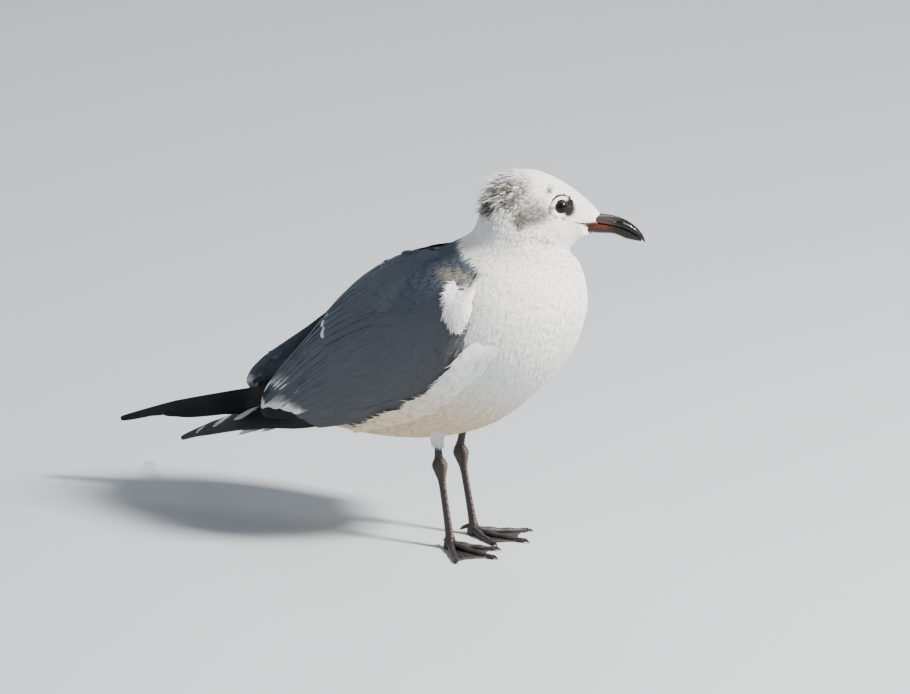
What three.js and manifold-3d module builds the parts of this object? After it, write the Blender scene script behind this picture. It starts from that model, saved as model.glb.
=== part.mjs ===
// A laughing gull in winter plumage, standing on both feet with its wings folded over its back and its
// head turned to its left. Millimetres, +Z up, +X the way the breast faces, +Y the bird's left.
// The body is one loft from bill to tail, parted by thin cuts, and the wings lie against it.
import * as THREE from "three";
import { mergeVertices } from "three/addons/utils/BufferGeometryUtils.js";
import Module from "manifold-3d";

const wasm = await Module();
wasm.setup();
const degrees = THREE.MathUtils.degToRad;

// ---------------------------------------------------------------- driving dimensions
const GAP = 0.3; // clearance between two pieces that meet
const HEAD_TURN = degrees(35); // how far the head looks to the bird's left
const NECK_AXIS_X = 42; // the upright line that the neck twists about
const EYE = { x: 66.9, y: 12, z: 218.2, radius: 4.4 };
const TOE = { middle: 35, outer: 32, inner: 27, radius: 2.1 };
const CLAW_LENGTH = 4.6;
const WEB_THICKNESS = 0.9;
const HUB_HEIGHT = 7; // top of the foot's hub, where the shank begins
const ANKLE_KNOB = 4; // how far the ankle's knob reaches above its middle

// Stations of the body from bill to tail, in the plane of symmetry with the head looking straight on.
// back and belly are [x, z] on the outline and half is half the width. low moves the widest place
// towards the belly, and turn is the share of the head's turn that the station takes.
const BODY = [
  { at: "bill base", back: [90, 210.8], belly: [86, 199.3], half: 5.4, low: 0, turn: 1 },
  { at: "lores", back: [84, 217], belly: [81, 197], half: 9, low: 0.05, turn: 1 },
  { at: "forehead", back: [73.6, 225.6], belly: [77, 194.8], half: 13, low: 0.08, turn: 1 },
  { at: "eyes", back: [62, 232.4], belly: [74.5, 192.8], half: 16.2, low: 0.1, turn: 1 },
  { at: "crown", back: [48, 237], belly: [73, 191], half: 19.5, low: 0.1, turn: 1 },
  { at: "hind crown", back: [34, 235], belly: [72, 189.4], half: 21.5, low: 0.08, turn: 1 },
  { at: "nape", back: [23.5, 225.5], belly: [71.8, 187.6], half: 23, low: 0.04, turn: 0.97 },
  { at: "hind neck", back: [19, 211], belly: [73.5, 183], half: 25, low: 0.02, turn: 0.85 },
  { at: "neck", back: [12.5, 197.5], belly: [79, 176], half: 28.5, low: 0, turn: 0.6 },
  { at: "neck base", back: [-1, 188], belly: [82, 164], half: 37, low: 0.04, turn: 0.3 },
  { at: "shoulders", back: [-20, 178], belly: [80.5, 147], half: 45.5, low: 0.04, turn: 0.1 },
  { at: "breast", back: [-38, 169], belly: [69.3, 122.8], half: 51, low: 0.04, turn: 0 },
  { at: "keel", back: [-57, 159], belly: [47.3, 98.3], half: 50.5, low: 0.02, turn: 0 },
  { at: "belly", back: [-75, 145.5], belly: [19.5, 77], half: 48, low: 0, turn: 0 },
  { at: "hips", back: [-92, 128.5], belly: [-14, 65], half: 43.5, low: 0, turn: 0 },
  { at: "rump", back: [-106, 109], belly: [-50, 59.5], half: 36, low: 0, turn: 0 },
  { at: "vent", back: [-115, 89], belly: [-84, 58.8], half: 26, low: 0, turn: 0 },
  { at: "tail root", back: [-121, 72], belly: [-108, 59], half: 15, low: 0, turn: 0 },
];

// Ribs of the folded right wing's arm, from the bend to the tips of the tertials. upper and lower are
// the [x, y, z] of its edges, bulge is how far its face swells, and thick is the depth of the feathers.
const WING = [
  { upper: [42, -38, 167], lower: [41, -42, 157], bulge: 1, thick: 5 },
  { upper: [34, -35, 176], lower: [37, -47, 141], bulge: 5, thick: 9 },
  { upper: [16, -27, 182], lower: [26, -50, 120], bulge: 9, thick: 11 },
  { upper: [-8, -17, 182], lower: [4, -50.5, 99], bulge: 12, thick: 11 },
  { upper: [-38, -9, 174], lower: [-24, -48, 83], bulge: 15.5, thick: 11 },
  { upper: [-68, -6, 157], lower: [-50, -45, 73.5], bulge: 15.5, thick: 9.5 },
  { upper: [-92, -5, 135], lower: [-80, -40, 67], bulge: 12.5, thick: 8 },
  { upper: [-112, -5, 112], lower: [-105, -33, 63], bulge: 9, thick: 6 },
  { upper: [-130, -8, 91], lower: [-128, -27, 61], bulge: 4, thick: 3.6 },
  { upper: [-143, -13, 70], lower: [-143, -18, 63], bulge: 0.5, thick: 1.4 },
];
// The bundle of long primaries that comes out from under the arm, crosses the tail and tapers to the tip.
const PRIMARIES = [
  { upper: [-84, -24, 84], lower: [-84, -34, 64.5], bulge: 1, thick: 3 },
  { upper: [-105, -22, 78], lower: [-106, -30, 60.5], bulge: 1.5, thick: 3.4 },
  { upper: [-130, -9, 68], lower: [-132, -24, 54], bulge: 1.5, thick: 3.2 },
  { upper: [-165, 6, 55.2], lower: [-166, -9, 43], bulge: 1.2, thick: 2.6 },
  { upper: [-200, 18, 40.2], lower: [-201, 9, 31.4], bulge: 0.8, thick: 1.8 },
  { upper: [-220, 23.5, 30.1], lower: [-221, 18.5, 25], bulge: 0.3, thick: 1.3 },
  { upper: [-239, 28.3, 19.6], lower: [-239, 27.6, 18.4], bulge: 0, thick: 0.7 },
];
// The left wing's pattern is the right one's, mirrored. Between two distances along the body its arm is
// drawn back and leans in, and its primaries rise to lie over the right ones, a little more spread.
const LEFT_ARM = { from: -75, to: -150, back: 22, inward: 14 };
const LEFT_PRIMARIES = { from: -60, to: -239, rise: 24, spread: 1.35 };

// The bill's stations along the head's own X, at the outline's top and bottom, and half the width.
const UPPER_BILL = [
  { x: 80, top: 211, bottom: 207.6, half: 6.2 },
  { x: 90, top: 210.7, bottom: 206.4, half: 5.4 },
  { x: 98, top: 209.6, bottom: 204.8, half: 4.4 },
  { x: 105, top: 207.2, bottom: 202.6, half: 3.7 },
  { x: 111, top: 203, bottom: 199.2, half: 2.8 },
  { x: 114.8, top: 198.4, bottom: 195.9, half: 1.8 },
  { x: 116.6, top: 194.6, bottom: 193.6, half: 0.6 },
];
const LOWER_BILL = [
  { x: 80, top: 207.2, bottom: 199.6, half: 5.7 },
  { x: 90, top: 206, bottom: 199.2, half: 4.9 },
  { x: 98, top: 204.4, bottom: 198.8, half: 3.9 },
  { x: 105, top: 202.2, bottom: 196, half: 3.1 },
  { x: 110, top: 199.4, bottom: 194.9, half: 2.3 },
  { x: 113.8, top: 196.4, bottom: 194.4, half: 1.1 },
];
const BITING_SIDE = 0.45; // an exponent under 1 flattens the underside of the upper bill

// Each leg: the middle of the foot's hub and of the ankle, the place where the thigh ends in the belly,
// and the way the middle toe points, in degrees from straight ahead towards the bird's left.
const LEGS = {
  right: { outwards: -1, hub: [1.8, -16.5], ankle: [-7.3, -15.5, 49.5], thigh: [-9.5, -15.5, 80], heading: -5 },
  left: { outwards: 1, hub: [-6.2, 16.5], ankle: [-16, 16, 49.4], thigh: [-10, 15.5, 80], heading: 7 },
};
const TOE_SPREAD = { outer: 40, inner: -32, hind: -160 }; // degrees from the middle toe, outwards
const TAIL = { root: [-106, 63], tip: [-169, 41], rootHalf: 11, tipHalf: 19, rounding: 5, thick: 3.2 };
const TAIL_DROOP = 2.2; // how far the tail's outer feathers hang below its middle ones

// ---------------------------------------------------------------- looks
const WHITE_PLUMAGE = { color: 0xeeeeea, roughness: 0.9 };
const GREY_PLUMAGE = { color: 0x5f666f, roughness: 0.85 };
const BLACK_PLUMAGE = { color: 0x17181a, roughness: 0.7 };
const BILL_HORN = { color: 0x2a1c1b, roughness: 0.35 };
const LEG_SKIN = { color: 0x33221f, roughness: 0.55 };
const CLAW_HORN = { color: 0x141212, roughness: 0.4 };
const EYE_SURFACE = { color: 0x1c0f0b, roughness: 0.05 };

// ---------------------------------------------------------------- shared tools
// A smooth line through points, with every span given the same share of it.
const lineThrough = (points) =>
  new THREE.CatmullRomCurve3(points.map((p) => new THREE.Vector3(...p)), false, "catmullrom", 0.5);

// A closed tube whose skin is place(t, angle, r): t runs from 0 to 1 along it, and r is 1 on the skin and
// 0 in the middle of the two flat ends.
function loft(along, around, place) {
  const tube = new THREE.CylinderGeometry(1, 1, 1, around, along);
  tube.deleteAttribute("normal");
  tube.deleteAttribute("uv");
  const spots = tube.getAttribute("position");
  for (let i = 0; i < spots.count; i++) {
    const [x, y, z] = [spots.getX(i), spots.getY(i), spots.getZ(i)];
    const spot = place(0.5 - y, Math.atan2(x, z), Math.hypot(x, z) > 0.5 ? 1 : 0);
    spots.setXYZ(i, spot.x, spot.y, spot.z);
  }
  return facingOut(mergeVertices(tube, 1e-4));
}

// The sum of the triangles' triple products is six times the volume, and negative when they face inwards.
function facingOut(geometry) {
  const spots = geometry.getAttribute("position");
  const corners = [new THREE.Vector3(), new THREE.Vector3(), new THREE.Vector3()];
  let sixVolumes = 0;
  for (let i = 0; i < geometry.index.count; i += 3) {
    corners.forEach((corner, k) => corner.fromBufferAttribute(spots, geometry.index.getX(i + k)));
    sixVolumes += corners[0].dot(corners[1].cross(corners[2]));
  }
  if (sixVolumes < 0) geometry.setIndex([...geometry.index.array].reverse());
  return geometry;
}

// A geometry as a manifold-3d solid, for cutting and joining.
function solid(geometry) {
  const bare = geometry.clone();
  bare.deleteAttribute("normal");
  bare.deleteAttribute("uv");
  const merged = mergeVertices(bare, 1e-4);
  return new wasm.Manifold(
    new wasm.Mesh({
      numProp: 3,
      vertProperties: new Float32Array(merged.getAttribute("position").array),
      triVerts: new Uint32Array(merged.index.array),
    }),
  );
}

// The largest body of a solid as a geometry. The crumbs that a cut can leave are dropped.
function geometryOf(made) {
  const largest = made.decompose().reduce((a, b) => (a.volume() > b.volume() ? a : b));
  const mesh = largest.getMesh();
  return new THREE.BufferGeometry()
    .setAttribute("position", new THREE.BufferAttribute(new Float32Array(mesh.vertProperties), 3))
    .setIndex(new THREE.BufferAttribute(new Uint32Array(mesh.triVerts), 1));
}

const gull = new THREE.Group();
function addPiece(name, made, look) {
  const mesh = new THREE.Mesh(geometryOf(made), new THREE.MeshStandardMaterial({ ...look, metalness: 0 }));
  mesh.name = name;
  gull.add(mesh);
}

// ---------------------------------------------------------------- the body
const backLine = lineThrough(BODY.map((s) => [s.back[0], 0, s.back[1]]));
const bellyLine = lineThrough(BODY.map((s) => [s.belly[0], 0, s.belly[1]]));
const girth = lineThrough(BODY.map((s) => [s.half, s.low, s.turn]));
const stationAt = (name) => BODY.findIndex((s) => s.at === name) / (BODY.length - 1);

// Turns a place about the neck's upright line by a share of the head's turn.
function twisted(place, share) {
  const turn = HEAD_TURN * share;
  const forward = place.x - NECK_AXIS_X;
  return new THREE.Vector3(
    NECK_AXIS_X + forward * Math.cos(turn) - place.y * Math.sin(turn),
    forward * Math.sin(turn) + place.y * Math.cos(turn),
    place.z,
  );
}

// The body's skin: an ellipse from back to belly at each station, widened low down, then turned. swell
// grows it outwards.
function bodyPlace(t, angle, r, swell) {
  const back = backLine.getPoint(t);
  const belly = bellyLine.getPoint(t);
  const { x: half, y: low, z: turn } = girth.getPoint(t);
  const rise = back.clone().sub(belly).multiplyScalar(0.5);
  const cosine = Math.cos(angle);
  const place = back.clone().add(belly).multiplyScalar(0.5);
  place.addScaledVector(rise, (1 + swell / rise.length()) * cosine * r);
  place.y = (half + swell) * Math.sin(angle) * (1 - low * cosine) * r;
  return twisted(place, turn);
}

function bodyLength(from, to, along, around, swell = 0) {
  return solid(loft(along, around, (t, angle, r) => bodyPlace(from + (to - from) * t, angle, r, swell)));
}

// Where the body is parted, and half of each thin cut, as shares of its whole length.
const CUT = 0.0012;
const partings = {
  head: stationAt("nape") - 0.01,
  neck: stationAt("neck base") + 0.01,
  breast: stationAt("keel") + 0.02,
};
// The body grown by a gap, which everything that lies against it is cut by.
const bodyRoom = bodyLength(stationAt("nape"), 1, 26, 28, GAP * 2.5);

// ---------------------------------------------------------------- head, bill and eyes
function bill(stations, underside, swell = 0) {
  const outline = lineThrough(stations.map((s) => [s.x, s.bottom, s.top]));
  const widths = lineThrough(stations.map((s) => [s.half, 0, 0]));
  const made = loft(10, 12, (t, angle, r) => {
    const { x, y: bottom, z: top } = outline.getPoint(t);
    const cosine = Math.cos(angle);
    const level = cosine < 0 ? -((-cosine) ** underside) : cosine;
    const half = (widths.getPoint(t).x + swell) * Math.sin(angle) * r;
    return twisted(new THREE.Vector3(x, half, (top + bottom) / 2 + ((top - bottom) / 2 + swell) * level * r), 1);
  });
  return solid(made);
}

function eyeball(side, radius) {
  const centre = twisted(new THREE.Vector3(EYE.x, side * EYE.y, EYE.z), 1);
  return solid(new THREE.SphereGeometry(radius, 13, 9).translate(centre.x, centre.y, centre.z));
}

const upperBillRoom = bill(UPPER_BILL, BITING_SIDE, GAP);
const head = bodyLength(0, partings.head - CUT, 15, 22)
  .subtract(upperBillRoom)
  .subtract(bill(LOWER_BILL, 1, GAP))
  .subtract(eyeball(1, EYE.radius + GAP))
  .subtract(eyeball(-1, EYE.radius + GAP));
addPiece("head", head, WHITE_PLUMAGE);
addPiece("bill_upper", bill(UPPER_BILL, BITING_SIDE), BILL_HORN);
addPiece("bill_lower", bill(LOWER_BILL, 1).subtract(upperBillRoom), BILL_HORN);
addPiece("eye_left", eyeball(1, EYE.radius), EYE_SURFACE);
addPiece("eye_right", eyeball(-1, EYE.radius), EYE_SURFACE);

// ---------------------------------------------------------------- neck and trunk
addPiece("neck", bodyLength(partings.head + CUT, partings.neck - CUT, 8, 26), WHITE_PLUMAGE);
addPiece("breast", bodyLength(partings.neck + CUT, partings.breast - CUT, 7, 28), WHITE_PLUMAGE);
addPiece("abdomen", bodyLength(partings.breast + CUT, 1, 12, 28), WHITE_PLUMAGE);

// ---------------------------------------------------------------- wings
// A folded bundle of feathers: at each rib a curved blade from its upper edge to its lower one. spread
// stretches it upwards, and carry takes each place to where this wing lies.
function featherBundle(ribs, along, around, spread, carry, swell) {
  const upper = lineThrough(ribs.map((s) => s.upper));
  const lower = lineThrough(ribs.map((s) => s.lower));
  const forms = lineThrough(ribs.map((s) => [s.bulge, s.thick, 0]));
  return solid(
    loft(along, around, (t, angle, r) => {
      const foot = lower.getPoint(t);
      const top = upper.getPoint(t).sub(foot).multiplyScalar(spread).add(foot);
      const { x: bulge, y: thick } = forms.getPoint(t);
      const chord = top.clone().sub(foot).multiplyScalar(0.5);
      const run = upper.getTangent(t).add(lower.getTangent(t)).normalize();
      const out = new THREE.Vector3().crossVectors(chord, run).normalize();
      const cosine = Math.cos(angle);
      const place = top.add(foot).multiplyScalar(0.5);
      place.addScaledVector(chord, cosine * r * (1 + swell / chord.length()));
      place.addScaledVector(out, bulge * (1 - cosine * cosine * r));
      place.addScaledVector(out, (thick / 2 + swell) * Math.sin(angle) * r);
      return carry(place);
    }),
  );
}

function leftArmPlace(place) {
  const { from, to, back, inward } = LEFT_ARM;
  const share = THREE.MathUtils.smoothstep(from - place.x, 0, from - to);
  return new THREE.Vector3(place.x - back * share, -place.y - inward * share, place.z);
}

function leftPrimariesPlace(place) {
  const { from, to, rise } = LEFT_PRIMARIES;
  const share = Math.max(0, (from - place.x) / (from - to));
  return new THREE.Vector3(place.x, -place.y, place.z + rise * share ** 1.5);
}

const asDrawn = (place) => place;
const rightArm = (swell) => featherBundle(WING, 16, 14, 1, asDrawn, swell);
const leftArm = (swell) => featherBundle(WING, 16, 14, 1, leftArmPlace, swell);
const rightTip = (swell) => featherBundle(PRIMARIES, 12, 10, 1, asDrawn, swell);
const leftTip = (swell) => featherBundle(PRIMARIES, 12, 10, LEFT_PRIMARIES.spread, leftPrimariesPlace, swell);

const rightWingRoom = rightArm(GAP).add(rightTip(GAP));
addPiece("wing_right", rightArm(0).subtract(rightTip(GAP)).subtract(bodyRoom), GREY_PLUMAGE);
addPiece("primaries_right", rightTip(0).subtract(bodyRoom), BLACK_PLUMAGE);
addPiece("wing_left", leftArm(0).subtract(leftTip(GAP)).subtract(rightWingRoom).subtract(bodyRoom), GREY_PLUMAGE);
addPiece("primaries_left", leftTip(0).subtract(rightWingRoom).subtract(bodyRoom), BLACK_PLUMAGE);

// ---------------------------------------------------------------- tail
const tailFan = loft(7, 22, (t, angle, r) => {
  const across = Math.sin(angle) * r;
  const half = TAIL.rootHalf + (TAIL.tipHalf - TAIL.rootHalf) * t;
  const share = t * (1 - (TAIL.rounding * across * across) / (TAIL.root[0] - TAIL.tip[0]));
  const depth = TAIL.thick * (1.6 - t) * Math.cos(angle) * r * 0.5;
  return new THREE.Vector3(
    TAIL.root[0] + (TAIL.tip[0] - TAIL.root[0]) * share,
    half * across,
    TAIL.root[1] + (TAIL.tip[1] - TAIL.root[1]) * share - TAIL_DROOP * t * across * across + depth,
  );
});
const tail = solid(tailFan).subtract(bodyRoom).subtract(rightWingRoom).subtract(leftArm(GAP)).subtract(leftTip(GAP));
addPiece("tail", tail, WHITE_PLUMAGE);

// ---------------------------------------------------------------- legs and feet
// A limb along a line of spots [x, y, z, half size fore and aft, half size across]. Nothing of it
// reaches below the floor level that is given.
function limb(spots, along, around, floor = -Infinity) {
  const line = lineThrough(spots.map((s) => s.slice(0, 3)));
  const sizes = lineThrough(spots.map((s) => [s[3], s[4], 0]));
  const straight = line.getPoint(1).sub(line.getPoint(0)).normalize();
  const lying = Math.hypot(straight.x, straight.y) > 0.5;
  const side = lying ? new THREE.Vector3(-straight.y, straight.x, 0).normalize() : new THREE.Vector3(0, 1, 0);
  const fore = new THREE.Vector3().crossVectors(side, straight).normalize();
  return solid(
    loft(along, around, (t, angle, r) => {
      const [at, size] = [line.getPoint(t), sizes.getPoint(t)];
      at.addScaledVector(fore, size.x * Math.cos(angle) * r);
      at.addScaledVector(side, size.y * Math.sin(angle) * r);
      at.z = Math.max(at.z, floor);
      return at;
    }),
  );
}

// The place at a reach from the hub, in a direction on the floor.
const outFrom = (hub, heading, reach) => [hub[0] + Math.cos(heading) * reach, hub[1] + Math.sin(heading) * reach];

// A toe lies on the floor from the hub outwards. It tapers, and swells at each of its knuckles.
const KNUCKLES = 3;
function toeSpots(hub, toe) {
  return Array.from({ length: KNUCKLES * 2 + 1 }, (_, i) => {
    const share = i / (KNUCKLES * 2);
    const size = TOE.radius * (1.15 - 0.4 * share) * (i % 2 ? 0.86 : 1);
    const height = size * 0.8 + 2.2 * (1 - share) ** 3;
    return [...outFrom(hub, toe.heading, toe.length * share), height, size, size];
  });
}

function claw(hub, toe) {
  const spot = (share, height, size) => [
    ...outFrom(hub, toe.heading, toe.length + GAP + CLAW_LENGTH * share),
    height,
    size,
    size * 0.8,
  ];
  return limb([spot(0, 1.3, 1.25), spot(0.5, 1.5, 0.95), spot(1, 0.5, 0.4)], 4, 6, 0);
}

// The skin between two toes is flat on the floor, with a hollow front edge.
function web(hub, first, last) {
  const [start, end] = [first, last].map((toe) => outFrom(hub, toe.heading, toe.length - 1));
  const hollow = outFrom(hub, (first.heading + last.heading) / 2, Math.min(first.length, last.length) * 0.77);
  const outline = new THREE.Shape().moveTo(...hub).lineTo(...start);
  outline.quadraticCurveTo(...hollow, ...end).lineTo(...hub);
  return solid(new THREE.ExtrudeGeometry(outline, { depth: WEB_THICKNESS, bevelEnabled: false, curveSegments: 6 }));
}

// The hind toe stands off the back of the hub, clear of the floor.
function hindToe(hub, heading) {
  const spot = (reach, height, size) => [...outFrom(hub, heading, reach), height, size, size];
  return limb([spot(0, 6, 1.5), spot(4, 5, 1.2), spot(7, 3.4, 0.9)], 4, 8);
}

// A spot on the straight way between two points, with its sizes fore and aft and across.
const between = (from, to) => (share, fore, across) => [
  ...from.map((value, axis) => value + (to[axis] - value) * share),
  fore,
  across,
];

for (const [side, { outwards, hub, ankle, thigh, heading }] of Object.entries(LEGS)) {
  const turned = (angle) => degrees(heading + angle * outwards);
  const toes = {
    inner: { heading: turned(TOE_SPREAD.inner), length: TOE.inner },
    middle: { heading: turned(0), length: TOE.middle },
    outer: { heading: turned(TOE_SPREAD.outer), length: TOE.outer },
  };
  let foot = limb([[...hub, 0, 3.4, 3.4], [...hub, HUB_HEIGHT / 2, 3.5, 3.3], [...hub, HUB_HEIGHT, 3, 2.7]], 3, 10);
  foot = foot.add(hindToe(hub, turned(TOE_SPREAD.hind)));
  foot = foot.add(web(hub, toes.inner, toes.middle)).add(web(hub, toes.middle, toes.outer));
  for (const [name, toe] of Object.entries(toes)) {
    foot = foot.add(limb(toeSpots(hub, toe), 7, 8, 0));
    addPiece(`claw_${name}_${side}`, claw(hub, toe), CLAW_HORN);
  }
  addPiece(`foot_${side}`, foot, LEG_SKIN);

  // The shank is slender, with a thick ankle above.
  const shankTop = ankle[2] + ANKLE_KNOB;
  const shank = between([...hub, HUB_HEIGHT + GAP * 3], [ankle[0], ankle[1], shankTop]);
  const shankSpots = [
    shank(0, 3, 2.5),
    shank(0.12, 2.6, 2),
    shank(0.4, 2.3, 1.8),
    shank(0.7, 2.5, 1.9),
    shank(0.82, 4, 2.9),
    shank(0.92, 5.3, 3.7),
    shank(1, 3.6, 2.8),
  ];
  addPiece(`shank_${side}`, limb(shankSpots, 15, 10), LEG_SKIN);

  // The thigh is bare at the ankle, then feathered into the belly.
  const leg = between([ankle[0], ankle[1], shankTop + GAP * 4], thigh);
  const legSpots = [leg(0, 2.9, 2.3), leg(0.25, 2.5, 2.2), leg(0.45, 3.4, 3.2), leg(1, 11, 8)];
  addPiece(`thigh_${side}`, limb(legSpots, 7, 12).subtract(bodyRoom), LEG_SKIN);
}

// ---------------------------------------------------------------- the frame
// The origin is on the floor, under the middle of the box round the bird.
const box = new THREE.Box3().setFromObject(gull);
gull.position.set(-(box.min.x + box.max.x) / 2, -(box.min.y + box.max.y) / 2, -box.min.z);

export default gull;
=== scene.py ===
# %% [markdown]
# # A laughing gull, dressed in feathers
# The gull stands on the floor with its wings folded. Its construction comes as a fixed frame: solids for
# the head, neck, trunk, wings, bill and legs. This lesson puts a skin inside those solids, lays thousands
# of small closed vanes over it, and models the bill, eyes and legs closely.
# Every shape here is a function of two parameters, computed with numpy and put into a mesh at one stroke.

import bpy
import numpy as np
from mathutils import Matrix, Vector


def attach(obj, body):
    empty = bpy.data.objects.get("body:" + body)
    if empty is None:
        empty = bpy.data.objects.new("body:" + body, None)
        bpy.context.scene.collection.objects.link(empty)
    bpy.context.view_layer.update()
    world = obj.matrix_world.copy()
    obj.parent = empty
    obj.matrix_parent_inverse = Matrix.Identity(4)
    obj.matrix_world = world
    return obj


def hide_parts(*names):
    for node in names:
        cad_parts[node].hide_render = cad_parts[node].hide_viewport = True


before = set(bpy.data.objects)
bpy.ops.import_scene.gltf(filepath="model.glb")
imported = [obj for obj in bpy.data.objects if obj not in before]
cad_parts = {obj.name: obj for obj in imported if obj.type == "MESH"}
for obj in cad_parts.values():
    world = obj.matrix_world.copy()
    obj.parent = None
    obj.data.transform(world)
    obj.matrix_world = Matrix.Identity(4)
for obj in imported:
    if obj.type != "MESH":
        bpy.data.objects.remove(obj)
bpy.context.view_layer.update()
MM = 0.001
TAU = 2 * np.pi

# %% [markdown]
# ## One body, from bill to tail
# The gull's body is one loft. Each station names a place along it, with a point on the back, a point on
# the belly and half the width, and a smooth line runs through the stations. The rings fan round the
# throat, so that they never cross. The head looks to the bird's left, so each station also takes a share
# of a turn about an upright line through the neck. A box or a sphere pushed into shape by hand could look
# the same, but a formula can be asked again for any point, and that is what places the feathers.

# %% The body's stations
# Millimetres in the plane of symmetry, before the head turns: back x, z; belly x, z; half width; how far
# the widest place lies below the middle; share of the head's turn; coat depth; distance between feathers.
STATIONS = {
    "bill base": (90, 210.8, 86, 199.3, 5.4, 0, 1, 0.5, 0.95),
    "lores": (84, 217, 81, 197, 9, 0.05, 1, 0.7, 1.05),
    "forehead": (73.6, 225.6, 77, 194.8, 13, 0.08, 1, 0.9, 1.25),
    "eyes": (62, 232.4, 74.5, 192.8, 16.2, 0.1, 1, 1.1, 1.4),
    "crown": (48, 237, 73, 191, 19.5, 0.1, 1, 1.3, 1.6),
    "hind crown": (34, 235, 72, 189.4, 21.5, 0.08, 1, 1.6, 1.9),
    "nape": (23.5, 225.5, 71.8, 187.6, 23, 0.04, 0.97, 1.7, 2.2),
    "hind neck": (19, 211, 73.5, 183, 25, 0.02, 0.85, 1.8, 2.6),
    "neck": (12.5, 197.5, 79, 176, 28.5, 0, 0.6, 1.9, 3.1),
    "neck base": (-1, 188, 82, 164, 37, 0.04, 0.3, 2.1, 3.6),
    "shoulders": (-20, 178, 80.5, 147, 45.5, 0.04, 0.1, 2.2, 4),
    "breast": (-38, 169, 69.3, 122.8, 51, 0.04, 0, 2.3, 4.3),
    "keel": (-57, 159, 47.3, 98.3, 50.5, 0.02, 0, 2.3, 4.5),
    "belly": (-75, 145.5, 19.5, 77, 48, 0, 0, 2.3, 4.6),
    "hips": (-92, 128.5, -14, 65, 43.5, 0, 0, 2.2, 4.6),
    "rump": (-106, 109, -50, 59.5, 36, 0, 0, 2.0, 4.6),
    "vent": (-115, 89, -84, 58.8, 26, 0, 0, 2, 4.4),
    "tail root": (-121, 72, -108, 59, 15, 0, 0, 1.4, 4),
}
TABLE = np.array(list(STATIONS.values()), float)
HEAD_TURN = np.radians(35)
NECK_AXIS_X = 42
EYE_PLACE = np.array([66.9, 12, 218.2])
SIGN = {"left": 1.0, "right": -1.0}  # which way y grows on each side
print("stations:", len(TABLE), "back's length in mm:", round(float(np.ptp(TABLE[:, 0]))))

# %% [markdown]
# A loft needs lines between its stations. Blender's curves could be sampled for that, but a cubic through
# four neighbouring points is short to write, and works on whole arrays of places at once.

# %% Lines and soft steps
def station(name):
    """The share of the body's length at which a named station stands."""
    return list(STATIONS).index(name) / (len(STATIONS) - 1)


def smooth_line(points, t):
    """A Catmull-Rom line: each span gets the same share of t, and the slope at a point is half of the
    step between its two neighbours. Beyond the ends the last cubic runs on."""
    p = np.asarray(points, float)
    p = np.vstack([2 * p[0] - p[1], p, 2 * p[-1] - p[-2]])
    x = np.asarray(t, float) * (len(p) - 3)
    i = np.clip(x.astype(int), 0, len(p) - 4)
    w = (x - i)[..., None]
    a, b, c, d = p[i], p[i + 1], p[i + 2], p[i + 3]
    return b + w * ((c - a) / 2 + w * (a - 2.5 * b + 2 * c - d / 2 + w * ((d - a) / 2 + 1.5 * (b - c))))


def soft_step(low, high, value):
    """0 below low, 1 above high and an S between them."""
    w = np.clip((value - low) / (high - low), 0, 1)
    return w * w * (3 - 2 * w)


# %% [markdown]
# The gull looks a little to its left. Turning the finished head would tear the neck, so the turn is part of
# the formula, and it fades out down the neck from station to station.

# %% The turned head
def twisted(place, share):
    """Turns places about the neck's upright line by a share of the head's turn."""
    turn = HEAD_TURN * share
    forward = place[..., 0] - NECK_AXIS_X
    x = NECK_AXIS_X + forward * np.cos(turn) - place[..., 1] * np.sin(turn)
    y = forward * np.sin(turn) + place[..., 1] * np.cos(turn)
    return np.stack([x, y, place[..., 2]], -1)


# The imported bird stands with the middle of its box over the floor's origin, which moved it ahead.
OFFSET = np.array([67.85, 0.0, 0.0])
print("head turned by", round(np.degrees(HEAD_TURN)), "degrees")

# %% [markdown]
# The body is then an ellipse at each share of the stations' line, and the skin is the same form drawn in by
# the coat. Below the corner of the mouth it draws in further, because no feathers cover the lower bill.

# %% The body and the skin as formulas
def body_straight(t, angle, out=0.0):
    """The body before the head turns. At share t: an ellipse from the back (angle 0) to the belly (pi),
    its width times one less `low` times the cosine, grown outwards by out."""
    row = smooth_line(TABLE, t)
    rise_x, rise_z = (row[..., 0] - row[..., 2]) / 2, (row[..., 1] - row[..., 3]) / 2
    grown = np.cos(angle) * (1 + out / np.hypot(rise_x, rise_z))
    x = (row[..., 0] + row[..., 2]) / 2 + rise_x * grown
    y = (row[..., 4] + out) * np.sin(angle) * (1 - row[..., 5] * np.cos(angle))
    z = (row[..., 1] + row[..., 3]) / 2 + rise_z * grown
    return np.stack([x, y, z], -1), row


def coat_depth(t):
    """How deep the coat lies over the skin at share t, read from the stations' line."""
    return smooth_line(TABLE[:, 7:8], t)[..., 0]


def mouth_line(x):
    """The height at which the mouth's line runs back from the bill over the face, before the head turns:
    straight between three marks."""
    return np.interp(x, (75.5, 80, 90), (208.0, 207.4, 206.2))


def chin_recess(place):
    """How far the skin draws in below the mouth's line, where the lower bill's base lies bare: 2.4 mm
    times a soft step forwards, one down from the mouth's line and one up from the throat."""
    x, z = place[..., 0], place[..., 2]
    below = soft_step(0.2, -0.9, z - mouth_line(x)) * soft_step(198.2, 200.8, z)
    return 2.4 * soft_step(78, 85, x) * below


def skin_place(t, angle):
    """The skin: the body drawn in by the depth of the coat at that station, with the head turned."""
    place, row = body_straight(t, angle, -coat_depth(t) - chin_recess(body_straight(t, angle)[0]))
    return twisted(place, row[..., 6])


print("skin at the eyes' station, in mm:", skin_place(station("eyes"), 0.0).round(1))


# %% [markdown]
# ## Mesh tools
# Blender meshes can be filled from flat arrays with `foreach_set`, which is hundreds of times quicker than
# adding faces one by one. Colours that follow the plumage are stored per vertex in an attribute called
# `tint`, and every vane has its own small UV square called `vane`, along and across it.

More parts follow.
